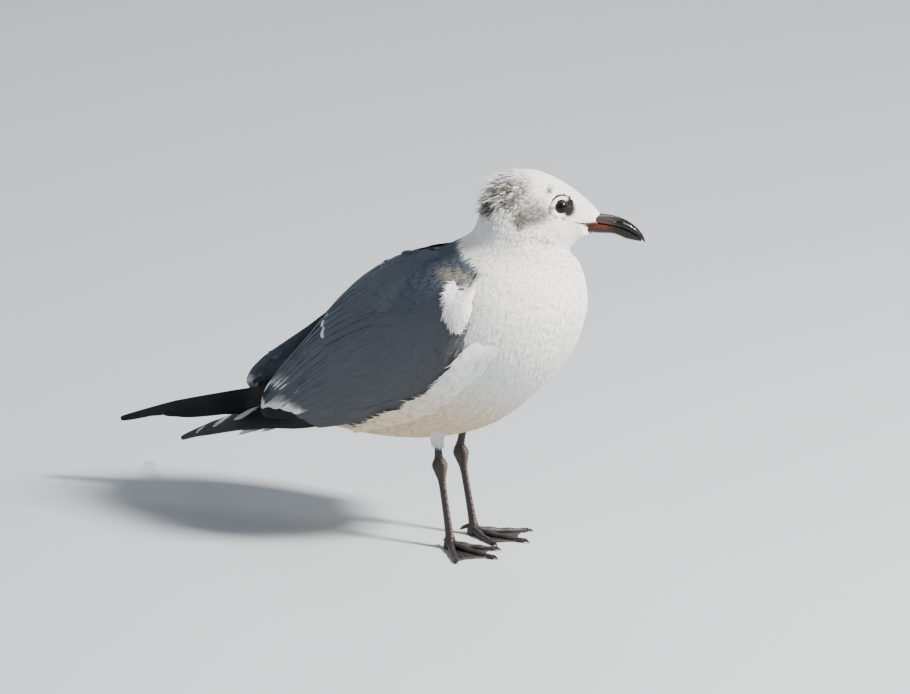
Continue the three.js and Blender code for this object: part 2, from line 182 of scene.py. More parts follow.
# %% Filling a mesh
def add_mesh(name, vertices, faces, material, tint=None, uvs=None, smooth=True):
    """Makes an object from vertices in millimetres of the bird's own frame and faces of equal length."""
    mesh = bpy.data.meshes.new(name)
    faces = [np.asarray(f, np.int32) for f in (faces if isinstance(faces, list) else [faces])]
    loops = np.concatenate([f.ravel() for f in faces])
    sizes = np.concatenate([np.full(len(f), f.shape[1]) for f in faces])
    mesh.vertices.add(len(vertices))
    mesh.vertices.foreach_set("co", ((vertices + OFFSET) * MM).astype(np.float32).ravel())
    mesh.loops.add(len(loops))
    mesh.loops.foreach_set("vertex_index", loops)
    mesh.polygons.add(len(sizes))
    mesh.polygons.foreach_set("loop_start", np.concatenate([[0], np.cumsum(sizes)[:-1]]).astype(np.int32))
    mesh.polygons.foreach_set("use_smooth", np.full(len(sizes), smooth))
    if tint is not None:
        colours = np.ones((len(vertices), 4), np.float32)
        colours[:, :3] = tint
        mesh.attributes.new("tint", "FLOAT_COLOR", "POINT").data.foreach_set("color", colours.ravel())
    for map_name, uv in (uvs or {}).items():
        layer = mesh.uv_layers.new(name=map_name)
        layer.data.foreach_set("uv", uv[loops].astype(np.float32).ravel())
    mesh.update(calc_edges=True)
    mesh.validate()
    mesh.materials.append(material)
    piece = bpy.data.objects.new(name, mesh)
    bpy.context.scene.collection.objects.link(piece)
    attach(piece, "root")
    return piece


def grid_faces(rows, columns, closed=True):
    """Quads between neighbouring rows of a grid, whose columns close into a ring or not."""
    r, c = np.meshgrid(np.arange(rows - 1), np.arange(columns if closed else columns - 1), indexing="ij")
    here, after = r * columns + c, r * columns + (c + 1) % columns
    return np.stack([here, after, after + columns, here + columns], -1).reshape(-1, 4)


def ring_grid(rows, columns):
    """Two parameters over a grid: from 0 to 1 along the rows, and once round along the columns."""
    return np.meshgrid(np.linspace(0, 1, rows), np.linspace(0, TAU, columns, endpoint=False), indexing="ij")


def tube_faces(rows, columns, flip=False):
    """A tube's quads and a disc at each of its ends. flip turns every face to its other side."""
    ring = np.arange(columns)
    faces = [grid_faces(rows, columns), ring[::-1][None], (ring + (rows - 1) * columns)[None]]
    return [f[:, ::-1] for f in faces] if flip else faces


def triangles(piece):
    """How many triangles the piece's faces make."""
    totals = np.empty(len(piece.data.polygons), np.int32)
    piece.data.polygons.foreach_get("loop_total", totals)
    return int((totals - 2).sum())


# %% [markdown]
# Feathers have to know which way is ahead, across and out wherever they stand. On a surface that is a
# formula, small differences give these directions, and a feather's midrib is a short walk along them.

# %% Frames on a surface
EPSILON = 1e-4  # the small step of both parameters


def surface_frame(place, a, b, outward):
    """At each (a, b): the place, the unit direction in which a grows, the one across it, the outward
    normal, and the two steps' own vectors, all from small central differences."""
    along = (place(a + EPSILON, b) - place(a - EPSILON, b)) / (2 * EPSILON)
    across = (place(a, b + EPSILON) - place(a, b - EPSILON)) / (2 * EPSILON)
    normal = np.cross(along, across) * outward
    normal /= np.linalg.norm(normal, axis=-1, keepdims=True)
    ahead = along / np.linalg.norm(along, axis=-1, keepdims=True)
    return place(a, b), ahead, np.cross(normal, ahead), normal, along, across


def march(surface, a, b, yaw, length, rows):
    """Walks over a surface from each root in equal steps, turned by yaw from the way a grows. A step on
    the surface becomes steps in a and b by solving two equations with the vectors' dot products."""
    place, outward = surface
    path = [(a, b)]
    for _ in range(rows - 1):
        _, ahead, side, _, along, across = surface_frame(place, a, b, outward)
        step = (ahead * np.cos(yaw)[:, None] + side * np.sin(yaw)[:, None]) * (length / (rows - 1))[:, None]
        aa, ab, bb = (along * along).sum(-1), (along * across).sum(-1), (across * across).sum(-1)
        sa, sb = (step * along).sum(-1), (step * across).sum(-1)
        scale = aa * bb - ab * ab + 1e-6
        a, b = a + (sa * bb - sb * ab) / scale, b + (sb * aa - sa * ab) / scale
        path.append((a, b))
    return np.stack([p[0] for p in path], 1), np.stack([p[1] for p in path], 1)


# %% [markdown]
# Feathers grow in even tracts. Random roots would clump, so the roots come from a sequence that fills a
# square evenly, and are then moved so that the same number falls on each piece of the coat.

# %% Even roots over a surface
EVEN_STEPS = (0.7548776662, 0.5698402910)  # powers of the plastic number, whose multiples keep apart


def scatter(surface, a_range, b_range, spacing, seed, cells=240):
    """Roots spread evenly over a surface, about spacing(a, b) apart. Points of an even sequence are
    moved so that each gets the same area, counted in squares of the spacing."""
    a_edges = np.linspace(*a_range, cells + 1)
    b_edges = np.linspace(*b_range, cells + 1)
    a, b = np.meshgrid((a_edges[1:] + a_edges[:-1]) / 2, (b_edges[1:] + b_edges[:-1]) / 2, indexing="ij")
    _, _, _, _, along, across = surface_frame(surface[0], a, b, 1)
    cell = (a_edges[1] - a_edges[0]) * (b_edges[1] - b_edges[0])
    weight = np.linalg.norm(np.cross(along, across), axis=-1) * cell / spacing(a, b) ** 2
    count = int(weight.sum() * 1.15)
    n = np.arange(count) + seed
    u, v = ((0.5 + n * step) % 1 for step in EVEN_STEPS)
    total = np.concatenate([[0], np.cumsum(weight.sum(1))])
    a_at = np.interp(u, total / total[-1], a_edges)
    row = np.clip(np.searchsorted(a_edges, a_at) - 1, 0, cells - 1)
    by_row = np.concatenate([np.zeros((cells, 1)), np.cumsum(weight, 1)], 1)
    by_row /= by_row[:, -1:]
    lower = (by_row[row] <= v[:, None]).sum(1) - 1
    low, high = by_row[row, lower], by_row[row, np.minimum(lower + 1, cells)]
    b_at = b_edges[lower] + (v - low) / np.maximum(high - low, 1e-9) * (b_edges[1] - b_edges[0])
    return a_at, b_at


# %% [markdown]
# ## What a vane is
# A feather shows as a thin leaf with a ridge, its shaft, down the middle. Each vane here is a closed
# sliver: at every step along its midrib stands a small section, and the sections are joined. The midrib
# keeps to the surface below and rises a little towards the tip, so that each vane lies over the next one
# behind it, as roof tiles do. Hair particles could cover a body too, but they are lost when a model is
# exported, while a mesh stays.

# %% Vanes on a surface
SLIVER = np.array([(-1, 0), (0, 1), (1, 0)], float)
LEAF = np.array([(-1, 0), (-0.55, 0.55), (-0.07, 0.8), (0, 1.25), (0.07, 0.8), (0.55, 0.55), (1, 0), (0, -0.4)])


def vane_points(surface, path, width, height, profile, section, ridge, x, tilt=0.0):
    """The corners of closed vanes. path is (a, b) for each feather and row, width is across the widest
    row, height is each row's distance above the surface, and profile(x) is the width's share along the
    midrib. tilt lifts one edge and sinks the other, so that a vane lies over its neighbour."""
    place, outward = surface
    spot, _, _, normal, _, _ = surface_frame(place, *path, outward)
    run = np.gradient(spot, axis=1)
    run /= np.linalg.norm(run, axis=-1, keepdims=True) + 1e-9
    side = np.cross(normal, run)
    half = width[:, None] / 2 * profile(x)[None, :]
    thick = ridge[:, None] * np.maximum(profile(x), 0.25)[None, :]
    lift = height[:, :, None] + thick[..., None] * section[:, 1] + tilt * outward * section[:, 0]
    across = (half[..., None] * section[:, 0])[..., None]
    return spot[:, :, None] + side[:, :, None] * across + normal[:, :, None] * lift[..., None]


def vane_faces(count, rows, columns):
    """Quads round each vane and a fan of triangles at its two ends, all facing outwards."""
    fan = np.array([[0, i + 1, i + 2] for i in range(columns - 2)])
    caps = np.concatenate([fan, fan[:, ::-1] + (rows - 1) * columns])
    starts = (np.arange(count) * rows * columns)[:, None, None]
    round_it = grid_faces(rows, columns)[None, :, ::-1] + starts
    return [round_it.reshape(-1, 4), (caps[None] + starts).reshape(-1, 3)]


# %% [markdown]
# A coat has tens of thousands of vanes, and a mesh for each would be slow. They are gathered in arrays and
# become one mesh. Every tuft also gets a small patch of its own on the unwrap of the skin below it.

# %% Gathering vanes into one mesh
TUFT_PATCH = 0.003  # how wide a tuft's patch is on the unwrap


class Vanes:
    """Gathers batches of vanes, and makes one mesh of them."""

    def __init__(self):
        self.points, self.faces, self.tints, self.local, self.bake, self.total = [], [], [], [], [], 0

    def add(self, surface, path, width, height, profile, section, ridge, tint, root, x=None, tilt=0.0):
        """tint is (count, 3), or (count, rows, columns, 3). root is each tuft's place on the unwrap of
        the surface below, and the whole tuft shares one patch there."""
        count, rows = path[0].shape
        columns = len(section)
        x = np.linspace(0, 1, rows) if x is None else x
        shape = (count, rows, columns)
        local = np.empty((*shape, 2))
        local[..., 0] = section[:, 0] * 0.5 + 0.5
        local[..., 1] = x[:, None]
        tint = tint[:, None, None] if tint.ndim == 2 else tint
        points = vane_points(surface, path, width, height, profile, section, ridge, x, tilt)
        self.points.append(points.reshape(-1, 3))
        self.faces.append([f + self.total for f in vane_faces(*shape)])
        self.tints.append(np.broadcast_to(tint, (*shape, 3)).reshape(-1, 3))
        self.local.append(local.reshape(-1, 2))
        self.bake.append((root[:, None, None] + (local - 0.5) * TUFT_PATCH).reshape(-1, 2))
        self.total += count * rows * columns

    def make(self, name, material, slot):
        """Puts all that was gathered into one piece, whose faces stay flat, so that edges stay crisp."""
        faces = [np.concatenate([f[kind] for f in self.faces]) for kind in (0, 1)]
        uvs = {"vane": np.concatenate(self.local), "OFBake": np.concatenate(self.bake)}
        points, tints = np.concatenate(self.points), np.clip(np.concatenate(self.tints), 0, 1)
        piece = add_mesh(name, points, faces, material, tints, uvs, smooth=False)
        print(f"{name}: {triangles(piece)} triangles")
        return piece


# %% [markdown]
# Body feathers are blunt and end in loose barbs, while flight feathers are long with nearly parallel edges.
# Each kind needs only its width along the midrib.

# %% Shapes of vanes
def tip(x, start, reach, least, power=0.5):
    """A rounded end: 1 up to start, then one less the square of the way beyond it as a share of reach,
    kept above a least value and raised to a power. A half gives an ellipse."""
    return np.clip(1 - (np.clip(x - start, 0, 1) / reach) ** 2, least, 1) ** power


def blunt_leaf(x):
    """Narrow at the root, widest at two thirds, rounded at the tip."""
    return (0.35 + 0.65 * np.clip(x / 0.55, 0, 1) ** 0.8) * tip(x, 0.62, 0.385, 0.0025)


def wisp(x):
    """A lock of barbs: widest near the root and drawn out to a point."""
    return (0.55 + 0.45 * np.sin(np.pi * np.clip(x * 1.4, 0, 1))) * np.clip(1.02 - x, 0.02, 1) ** 0.7


def quill(x):
    """A flight feather: soon at full width, nearly parallel, then rounded off."""
    return np.clip(0.45 + 2.2 * x, 0, 1) * tip(x, 0.86, 0.142, 0.004)


def primary(x):
    """A primary: tapering over its last half to a rounded tip."""
    return np.clip(0.6 + 3 * x, 0, 1) * tip(x, 0.45, 0.556, 0.008, 0.47)


print("width along a leaf:", blunt_leaf(np.linspace(0, 1, 5)).round(2))


# %% Locks of barbs
LOCK_ROWS = 3


def locks(vanes, surface, path, length, width, height, tint, root, rng, spots):
    """Barbs that part from each feather in locks. spots lists, for each lock, where it leaves the shaft,
    its slant in radians, and its length as a share of the feather's."""
    rows = path[0].shape[1]
    for share, slant, reach in spots:
        at = share * (rows - 1)
        i, w = int(at), at - int(at)
        a, b, h = (v[:, i] * (1 - w) + v[:, i + 1] * w for v in (*path, height))
        da, db = path[0][:, i + 1] - path[0][:, i], path[1][:, i + 1] - path[1][:, i]
        _, ahead, side, _, along, across = surface_frame(surface[0], a, b, surface[1])
        run = along * da[:, None] + across * db[:, None]
        yaw = np.arctan2((run * side).sum(-1), (run * ahead).sum(-1)) + slant + rng.normal(0, 0.08, len(a))
        lock = march(surface, a, b, yaw, length * reach * rng.uniform(0.85, 1.15, len(a)), LOCK_ROWS)
        top = height[:, -1] * rng.uniform(0.95, 1.1, len(a))
        rise = h[:, None] + (top - h)[:, None] * np.array([0.05, 0.6, 1.0]) + 0.04
        steps = np.linalg.norm(np.diff(surface[0](*lock), axis=1), axis=-1)
        fine = (steps < (length * reach)[:, None] * 0.8).all(1)  # a lock must not leave its surface
        lock, wide = (lock[0][fine], lock[1][fine]), width[fine]
        vanes.add(surface, lock, wide * 0.3, rise[fine], wisp, SLIVER, wide * 0.07, tint[fine], root[fine])


# %% [markdown]
# ## Finishes
# Plumage takes its colour from the `tint` attribute, so that skin and feathers carry the same markings.
# Over it lies a shader node group that draws barbs: fine lines that leave the shaft at a slant. They
# darken the colour a little and feed a bump. The group gives out a mask and a height only, and each
# material keeps its own Principled shader, so that its gloss stays readable to an exporter.

# %% Materials and their sockets
def socket_value(node, name, value):
    """Sets a node's own value for a socket."""
    node.inputs[name].default_value = value


def new_material(name, **values):
    """A material with a Principled shader whose even values are set on its own sockets."""
    material = bpy.data.materials.new(name)
    material.use_nodes = True
    shader = material.node_tree.nodes["Principled BSDF"]
    for key, value in values.items():
        socket_value(shader, key.replace("_", " "), value)
    return material, material.node_tree, shader


def tint_of(tree):
    """The colour that the mesh holds in its tint attribute."""
    node = tree.nodes.new("ShaderNodeAttribute")
    node.attribute_name = "tint"
    return node.outputs["Color"]


# %% Node helpers
def math_node(tree, operation, *values):
    """A Math node whose inputs are sockets or numbers."""
    node = tree.nodes.new("ShaderNodeMath")
    node.operation = operation
    for socket, value in zip(node.inputs, values):
        if isinstance(value, (int, float)):
            socket.default_value = value
        else:
            tree.links.new(value, socket)
    return node.outputs[0]


def mix_colour(tree, factor, first, second, blend="MIX"):
    """A colour Mix node whose inputs are sockets or colours."""
    node = tree.nodes.new("ShaderNodeMix")
    node.data_type = "RGBA"
    node.blend_type = blend
    for index, value in ((0, factor), (6, first), (7, second)):
        if isinstance(value, bpy.types.NodeSocket):
            tree.links.new(value, node.inputs[index])
        else:
            node.inputs[index].default_value = value if index == 0 else (*value, 1)
    return node.outputs[2]


def noise(tree, scale, detail=3.0, stretch=(1, 1, 1)):
    """Noise on Object coordinates, stretched by a Mapping node."""
    where = tree.nodes.new("ShaderNodeTexCoord")
    mapping = tree.nodes.new("ShaderNodeMapping")
    mapping.inputs["Scale"].default_value = stretch
    texture = tree.nodes.new("ShaderNodeTexNoise")
    texture.inputs["Scale"].default_value = scale
    texture.inputs["Detail"].default_value = detail
    tree.links.new(where.outputs["Object"], mapping.inputs["Vector"])
    tree.links.new(mapping.outputs[0], texture.inputs["Vector"])
    return texture.outputs["Fac"]


def bump(tree, shader, height, strength, distance):
    """Lets a height tilt the shader's normal."""
    node = tree.nodes.new("ShaderNodeBump")
    socket_value(node, "Strength", strength)
    socket_value(node, "Distance", distance)
    tree.links.new(height, node.inputs["Height"])
    tree.links.new(node.outputs[0], shader.inputs["Normal"])


# %% The barbs' node group
def barb_group():
    """Barbs leave the shaft at a slant: the wave runs with the distance along the vane less the distance
    from its shaft. The shaft itself is a thin line in the middle."""
    group = bpy.data.node_groups.new("feather barbs", "ShaderNodeTree")
    group.interface.new_socket("Barbs", in_out="INPUT", socket_type="NodeSocketFloat").default_value = 40
    group.interface.new_socket("Slant", in_out="INPUT", socket_type="NodeSocketFloat").default_value = 0.5
    group.interface.new_socket("Lines", in_out="OUTPUT", socket_type="NodeSocketFloat")
    group.interface.new_socket("Shaft", in_out="OUTPUT", socket_type="NodeSocketFloat")
    start, end = group.nodes.new("NodeGroupInput"), group.nodes.new("NodeGroupOutput")
    uv = group.nodes.new("ShaderNodeUVMap")
    uv.uv_map = "vane"
    parts = group.nodes.new("ShaderNodeSeparateXYZ")
    group.links.new(uv.outputs[0], parts.inputs[0])
    aside = math_node(group, "ABSOLUTE", math_node(group, "SUBTRACT", parts.outputs[0], 0.5))
    slant = math_node(group, "MULTIPLY", aside, start.outputs["Slant"])
    turns = math_node(group, "MULTIPLY", start.outputs["Barbs"], TAU)
    slanted = math_node(group, "SUBTRACT", parts.outputs[1], slant)
    wave = math_node(group, "SINE", math_node(group, "MULTIPLY", slanted, turns))
    lines = math_node(group, "MULTIPLY", math_node(group, "MULTIPLY_ADD", wave, 0.5, 0.5), noise(group, 900, 2))
    group.links.new(lines, end.inputs["Lines"])
    group.links.new(math_node(group, "LESS_THAN", aside, 0.03), end.inputs["Shaft"])
    return group


BARBS = barb_group()

# %% [markdown]
# White plumage is soft and dull, and black flight feathers have a little gloss and clearer barbs. The three
# kinds differ only in numbers, so one function makes them.

# %% Three kinds of plumage
SHAFT_BLACK = (0.02, 0.02, 0.02)


def plumage(name, barbs, darkening, shaft, roughness, sheen, slant=0.5):
    """Plumage: the tint attribute, darkened between barbs and along the shaft, mottled a little."""
    finish = dict(Roughness=roughness, Sheen_Weight=sheen, Sheen_Roughness=0.5, Specular_IOR_Level=0.3)
    material, tree, shader = new_material(name, **finish)
    group = tree.nodes.new("ShaderNodeGroup")
    group.node_tree = BARBS
    socket_value(group, "Barbs", barbs)
    socket_value(group, "Slant", slant)
    between = math_node(tree, "MULTIPLY", math_node(tree, "SUBTRACT", 1, group.outputs["Lines"]), darkening)
    colour = mix_colour(tree, between, tint_of(tree), (0.1, 0.1, 0.11), "MULTIPLY")
    on_shaft = math_node(tree, "MULTIPLY", group.outputs["Shaft"], shaft)
    colour = mix_colour(tree, on_shaft, colour, SHAFT_BLACK)
    mottle = math_node(tree, "MULTIPLY", noise(tree, 120, 4), 0.25)
    colour = mix_colour(tree, mottle, colour, (0.75, 0.74, 0.72), "MULTIPLY")
    tree.links.new(colour, shader.inputs["Base Color"])
    bump(tree, shader, group.outputs["Lines"], 0.35, 0.0002)
    return material


WHITE_VANES = plumage("white plumage", 9, 0.17, 0.0, 0.85, 0.05)
GREY_VANES = plumage("grey plumage", 30, 0.2, 0.06, 0.8, 0.03)
BLACK_VANES = plumage("black plumage", 110, 0.35, 0.3, 0.55, 0.0, 0.8)
print("materials:", len(bpy.data.materials))

# %% [markdown]
# ## Markings
# A winter gull is white below, slate grey above and smudged with grey-brown behind the eye and over the
# hind crown. Each marking is a soft patch in the bird's own side view, measured before the head turns, so
# both sides match. One function answers for skin and feathers alike.

# %% Colours of the plumage
WHITE = np.array([0.92, 0.92, 0.91])
# Painted shade: the warm tan that shade and warm bounced light give the belly's lower side.
WARM_BELLY_SHADE = np.array([0.74, 0.57, 0.36])
# Painted highlight: the beige of a sunlit strip on the shoulders.
SUNLIT_SHOULDER_BEIGE = np.array([0.31, 0.285, 0.235])
GAPE_RED = np.array([0.12, 0.028, 0.012])
SLATE = np.array([0.088, 0.108, 0.142])
SMUDGE = np.array([0.085, 0.070, 0.052])
DUSK = np.array([0.009, 0.008, 0.008])
BLACK = np.array([0.003, 0.003, 0.0038])
# Grey marks, in the head's side view: x, z, half width, half height, tilt in degrees, strength, and
# whether they are streaked from feather to feather.
SMUDGES = {
    "hood": (37.5, 226.5, 17, 11.5, 20, 1.0, True),
    "veil behind the eye": (45, 219.5, 21, 11, -10, 0.62, True),
    "spot over the eye": (60.3, 227.8, 2.8, 3.2, -30, 0.9, True),
    "crease of the cheek": (57, 199.8, 12, 2.2, -24, 0.45, True),
    "side of the neck": (42, 202, 9, 4.5, -10, 0.3, True),
    "ear": (50.5, 214.8, 16.5, 9.5, 0, 0.68, False),
    "ear's dark middle": (44, 213, 7.5, 9, 0, 0.8, False),
    # The nape's mark is partly grey plumage and partly painted shade of the hind neck.
    "nape": (24, 217.5, 8, 7, 0, 0.75, False),
}
print("colours' brightness:", {name: round(float(value.mean()), 3) for name, value in
                               (("white", WHITE), ("slate", SLATE), ("smudge", SMUDGE), ("black", BLACK))})


# %% Where the markings lie
def patch(place, x, z, wide, tall, tilt=0):
    """A soft oval in side view: 1 in its middle, and 0 beyond its edge."""
    c, s = np.cos(np.radians(tilt)), np.sin(np.radians(tilt))
    dx, dz = place[..., 0] - x, place[..., 2] - z
    return 1 - soft_step(0.35, 1, np.hypot((dx * c + dz * s) / wide, (dz * c - dx * s) / tall))


def eye_distance(place):
    """How far a place on the head is from the eye's middle, in side view."""
    return np.hypot(place[..., 0] - EYE_PLACE[0], place[..., 2] - EYE_PLACE[2])


# The height at which the mantle ends over the folded wing: x, z.
WING_LINE = ((-120, -70, -30, -5, 8, 20, 34, 42), (80, 112, 128, 138, 152, 164, 179, 185))


def mantle_share(place):
    """1 on the slate mantle and 0 on the white neck, breast and flanks. Its front edge slants down to the
    wing's bend, and below it ends at the line of the folded wing's middle."""
    x, z = place[..., 0], place[..., 2]
    edge = np.minimum(10 + 2.6 * (190.5 - z), 38)
    return soft_step(3, -4, x - edge) * soft_step(-3, 3, z - np.interp(x, *WING_LINE))


def grey_share(place, random):
    """How grey the winter smudges are: the largest of all marks. A streaked mark swings with random."""
    streaky = 0.32 + 1.3 * random**1.2
    grey = np.zeros(place.shape[:-1])
    for x, z, wide, tall, tilt, strength, streaked in SMUDGES.values():
        share = strength * streaky if streaked else strength + 0.3 * random
        grey = np.maximum(grey, patch(place, x, z, wide, tall, tilt) * share)
    return np.clip(grey, 0, 0.95)


# %% One function for all markings
def markings(t, angle, random=0.5):
    """The colour of the plumage at each place: white, then mixed in turn with each mark's colour by the
    mark's share. random, from 0 to 1, makes the winter smudges patchy from feather to feather."""
    place, _ = body_straight(t, angle)
    x, y, z = place[..., 0], place[..., 1], place[..., 2]
    ahead, above = x - EYE_PLACE[0], z - EYE_PLACE[2]
    mantle = mantle_share(place)
    # below: where the painted warm shade lies, stronger lower down and further back on the belly.
    below = soft_step(130, 78, z) * soft_step(72, 20, x)
    lores = patch(place, 72.3, 216.2, 4.9, 5.8, 15) * soft_step(1.5, 3.5, ahead - 0.4 * above)
    bare = soft_step(0.8, 1.5, chin_recess(place)) * soft_step(79.5, 81, x - 0.6 * (206.5 - z))
    # Painted highlight: a beige band on the mantle's sides over the shoulders, where sunlight falls on them.
    wear_and_highlight = patch(place, 20, 177.0, 19, 5.5, 0) * soft_step(26, 32, np.abs(y)) * mantle
    # The first mark is painted warm shade, and the last a painted sunlit patch on the shoulders.
    marks = (
        (WARM_BELLY_SHADE, below * 0.85),
        (SMUDGE, grey_share(place, random)),
        (DUSK, np.clip(lores * (0.9 + 0.4 * random), 0, 0.97)),
        (GAPE_RED, bare),
        (SLATE, mantle),
        (SUNLIT_SHOULDER_BEIGE, np.clip(0.9 * wear_and_highlight * (0.6 + 0.8 * random), 0, 1)),
    )
    colour = np.broadcast_to(WHITE, place.shape)
    for paint, share in marks:
        colour = colour + (paint - colour) * share[..., None]
    return colour


# %% [markdown]
# ## The skin
# The skin is what shows between feathers, and it is one surface from the bill to the tail, so no seam
# shows where the solids are parted. It lies inside them by the depth of the coat. The feathers carry most
# of the detail, but round each eye the skin is pushed up into a fold that carries the white eye ring, and
# it dips to let the eyeball in. Its rings crowd together towards the head, where the shapes are small.

# %% The skin as a grid
RINGS, AROUND = 330, 220
SKIN_LOOK, skin_tree, skin_shader = new_material("plumage base", Roughness=0.95)
down = mix_colour(skin_tree, noise(skin_tree, 900, 4), tint_of(skin_tree), (0.86, 0.86, 0.86), "MULTIPLY")
skin_tree.links.new(down, skin_shader.inputs["Base Color"])
bump(skin_tree, skin_shader, noise(skin_tree, 700, 4), 0.4, 0.0005)


def eye_fold(t, angle):
    """How far the skin rises round the eye: a rounded ridge 5 mm from its middle, and a dip inside it."""
    place, _ = body_straight(t, angle)
    away = eye_distance(place)
    ridge = 0.55 * np.exp(-(((away - 4.9) / 0.9) ** 2))
    return ridge - 3.5 * soft_step(3.9, 2.6, away)


def add_skin():
    """A grid of rings from bill to tail, with a small disc at each end, so that it is closed."""
    share, angle = ring_grid(RINGS, AROUND)
    t = share**1.5
    recess = chin_recess(body_straight(t, angle)[0])
    place, row = body_straight(t, angle, eye_fold(t, angle) - coat_depth(t) - recess)
    points = twisted(place, row[..., 6]).reshape(-1, 3)
    unwrap = np.stack([angle / TAU, t], -1).reshape(-1, 2)
    tint = markings(t, angle).reshape(-1, 3)
    return add_mesh("skin", points, tube_faces(RINGS, AROUND), SKIN_LOOK, tint, {"skin": unwrap})


skin = add_skin()
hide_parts("head", "neck", "breast", "abdomen")
print("skin:", triangles(skin), "triangles")

# %% [markdown]
# ## The folded wing as a surface
# A folded wing is a bundle of feathers. Its ribs run from the wing's bend to the tips of the tertials,
# and each rib is a curved blade from its upper to its lower edge. Feathers are laid on its outer face, so
# the core that is modelled here lies inside the wing's outline by their depth. The long primaries come
# out from under it, as a second bundle. The left wing is the right one's mirror image, drawn back and in
# a little, as a real bird's wings are never folded quite alike.

# %% Ribs
# The right wing's ribs in millimetres: upper edge x, y, z; lower edge x, y, z; bulge; thickness.
WING = np.array([
    (42, -38, 167, 41, -42, 157, 1, 5),
    (34, -35, 176, 37, -47, 141, 5, 9),
    (16, -27, 182, 26, -50, 120, 9, 11),
    (-8, -17, 182, 4, -50.5, 99, 12, 11),
    (-38, -9, 174, -24, -48, 83, 15.5, 11),
    (-68, -6, 157, -50, -45, 73.5, 15.5, 9.5),
    (-92, -5, 135, -80, -40, 67, 12.5, 8),
    (-112, -5, 112, -105, -33, 63, 9, 6),
    (-130, -8, 91, -128, -27, 61, 4, 3.6),
    (-143, -13, 70, -143, -18, 63, 0.5, 1.4),
])
PRIMARIES = np.array([
    (-84, -24, 84, -84, -34, 64.5, 1, 3),
    (-105, -22, 78, -106, -30, 60.5, 1.5, 3.4),
    (-130, -9, 68, -132, -24, 54, 1.5, 3.2),
    (-165, 6, 55.2, -166, -9, 43, 1.2, 2.6),
    (-200, 18, 40.2, -201, 9, 31.4, 0.8, 1.8),
    (-220, 23.5, 30.1, -221, 18.5, 25, 0.3, 1.3),
    (-239, 28.3, 19.6, -239, 27.6, 18.4, 0, 0.7),
])
WING_COVER = 2.0  # deepest layer of feathers over the wing's core


def left_arm(place):
    """Where a place of the right wing's arm comes to lie in the left wing: mirrored, then drawn back and
    inwards by a share that grows from x = -75 to x = -150."""
    share = soft_step(-75, -150, place[..., 0])
    return np.stack([place[..., 0] - 22 * share, -place[..., 1] - 14 * share, place[..., 2]], -1)


def left_tip(place):
    """Mirrors a place of the primaries, and lets them rise towards their tips."""
    share = np.clip((-60 - place[..., 0]) / 179, 0, None)
    return np.stack([place[..., 0], -place[..., 1], place[..., 2] + 24 * share**1.5], -1)


def wing_cover(ribs, s):
    """How deep the feathers lie over the core at a share s of the bundle: less where it is thin."""
    return np.minimum(WING_COVER, smooth_line(ribs[:, 7:8], s)[..., 0] * 0.3)


def bundle(ribs, carry):
    """The surface of a bundle: place(s, angle), s from bend to tip and angle from the upper edge (0) over
    the outer face to the lower edge (pi) and back inside. At each s the middle of the chord, plus the
    chord times the cosine, plus the bulge times the sine squared and half the thickness times the sine,
    both at right angles to the chord and to the way the ribs run."""

    def unit(v):
        return v / np.linalg.norm(v, axis=-1, keepdims=True)

    def place(s, angle):
        row = smooth_line(ribs, s)
        slope = smooth_line(ribs, s + 1e-3) - smooth_line(ribs, s - 1e-3)
        run = unit(unit(slope[..., 0:3]) + unit(slope[..., 3:6]))
        foot = row[..., 3:6]
        chord = (row[..., 0:3] - foot) / 2
        out = unit(np.cross(chord, run))
        cover = wing_cover(ribs, s)
        cosine, sine = np.cos(angle), np.sin(angle)
        half = row[..., 7] / 2 - cover
        along_chord = cosine * (1 - cover / np.linalg.norm(chord, axis=-1))
        aside = row[..., 6] * (1 - cosine**2) + half * sine
        return carry(foot + chord + chord * along_chord[..., None] + out * aside[..., None])

    return place


ARMS = {"right": (bundle(WING, lambda p: p), 1.0), "left": (bundle(WING, left_arm), -1.0)}


def blade_sheet(carry, widen):
    """The middle sheet of a blade of primaries: place(s, h), h the share of the chord from its upper to
    its lower edge, bulging outwards by a parabola of h. Beyond the edges the sheet runs on."""

    def place(s, h):
        row = smooth_line(PRIMARIES, s)
        foot = row[..., 3:6]
        chord = (row[..., 0:3] - foot) * widen
        out = np.cross(chord, np.broadcast_to([-1.0, 0.25, -0.3], chord.shape))
        out /= np.linalg.norm(out, axis=-1, keepdims=True)
        bulge = row[..., 6] * 4 * h * (1 - h)
        return carry(foot + chord * (1 - h)[..., None] + out * bulge[..., None])

    return place


TIP_SHEETS = {"right": (blade_sheet(lambda p: p, 1.0), 1.0), "left": (blade_sheet(left_tip, 1.35), -1.0)}


def side_map(surface, sign, a_range, b_range):
    """A table of how far a surface reaches sideways, in cells 2 mm across of the bird's side view."""
    a, b = np.meshgrid(np.linspace(*a_range, 700), np.linspace(*b_range, 500), indexing="ij")
    points = surface[0](a, b)
    ix = np.clip(((points[..., 0] + 200) / 2).astype(int), 0, 199)
    iz = np.clip((points[..., 2] / 2).astype(int), 0, 149)
    table = np.zeros((200, 150))
    np.maximum.at(table, (ix, iz), sign * points[..., 1])
    return table


def reach_at(table, points):
    """The table's value at places of the side view."""
    ix = np.clip(((points[..., 0] + 200) / 2).astype(int), 0, 199)
    iz = np.clip((points[..., 2] / 2).astype(int), 0, 149)
    return table[ix, iz]


SKIN_SURFACE = (skin_place, -1.0)
WING_REACH = {side: side_map(ARMS[side], -ARMS[side][1], (0, 1), (0, np.pi)) for side in ARMS}
BODY_REACH = {side: side_map(SKIN_SURFACE, -ARMS[side][1], (0.3, 1), (-np.pi, np.pi)) for side in ARMS}


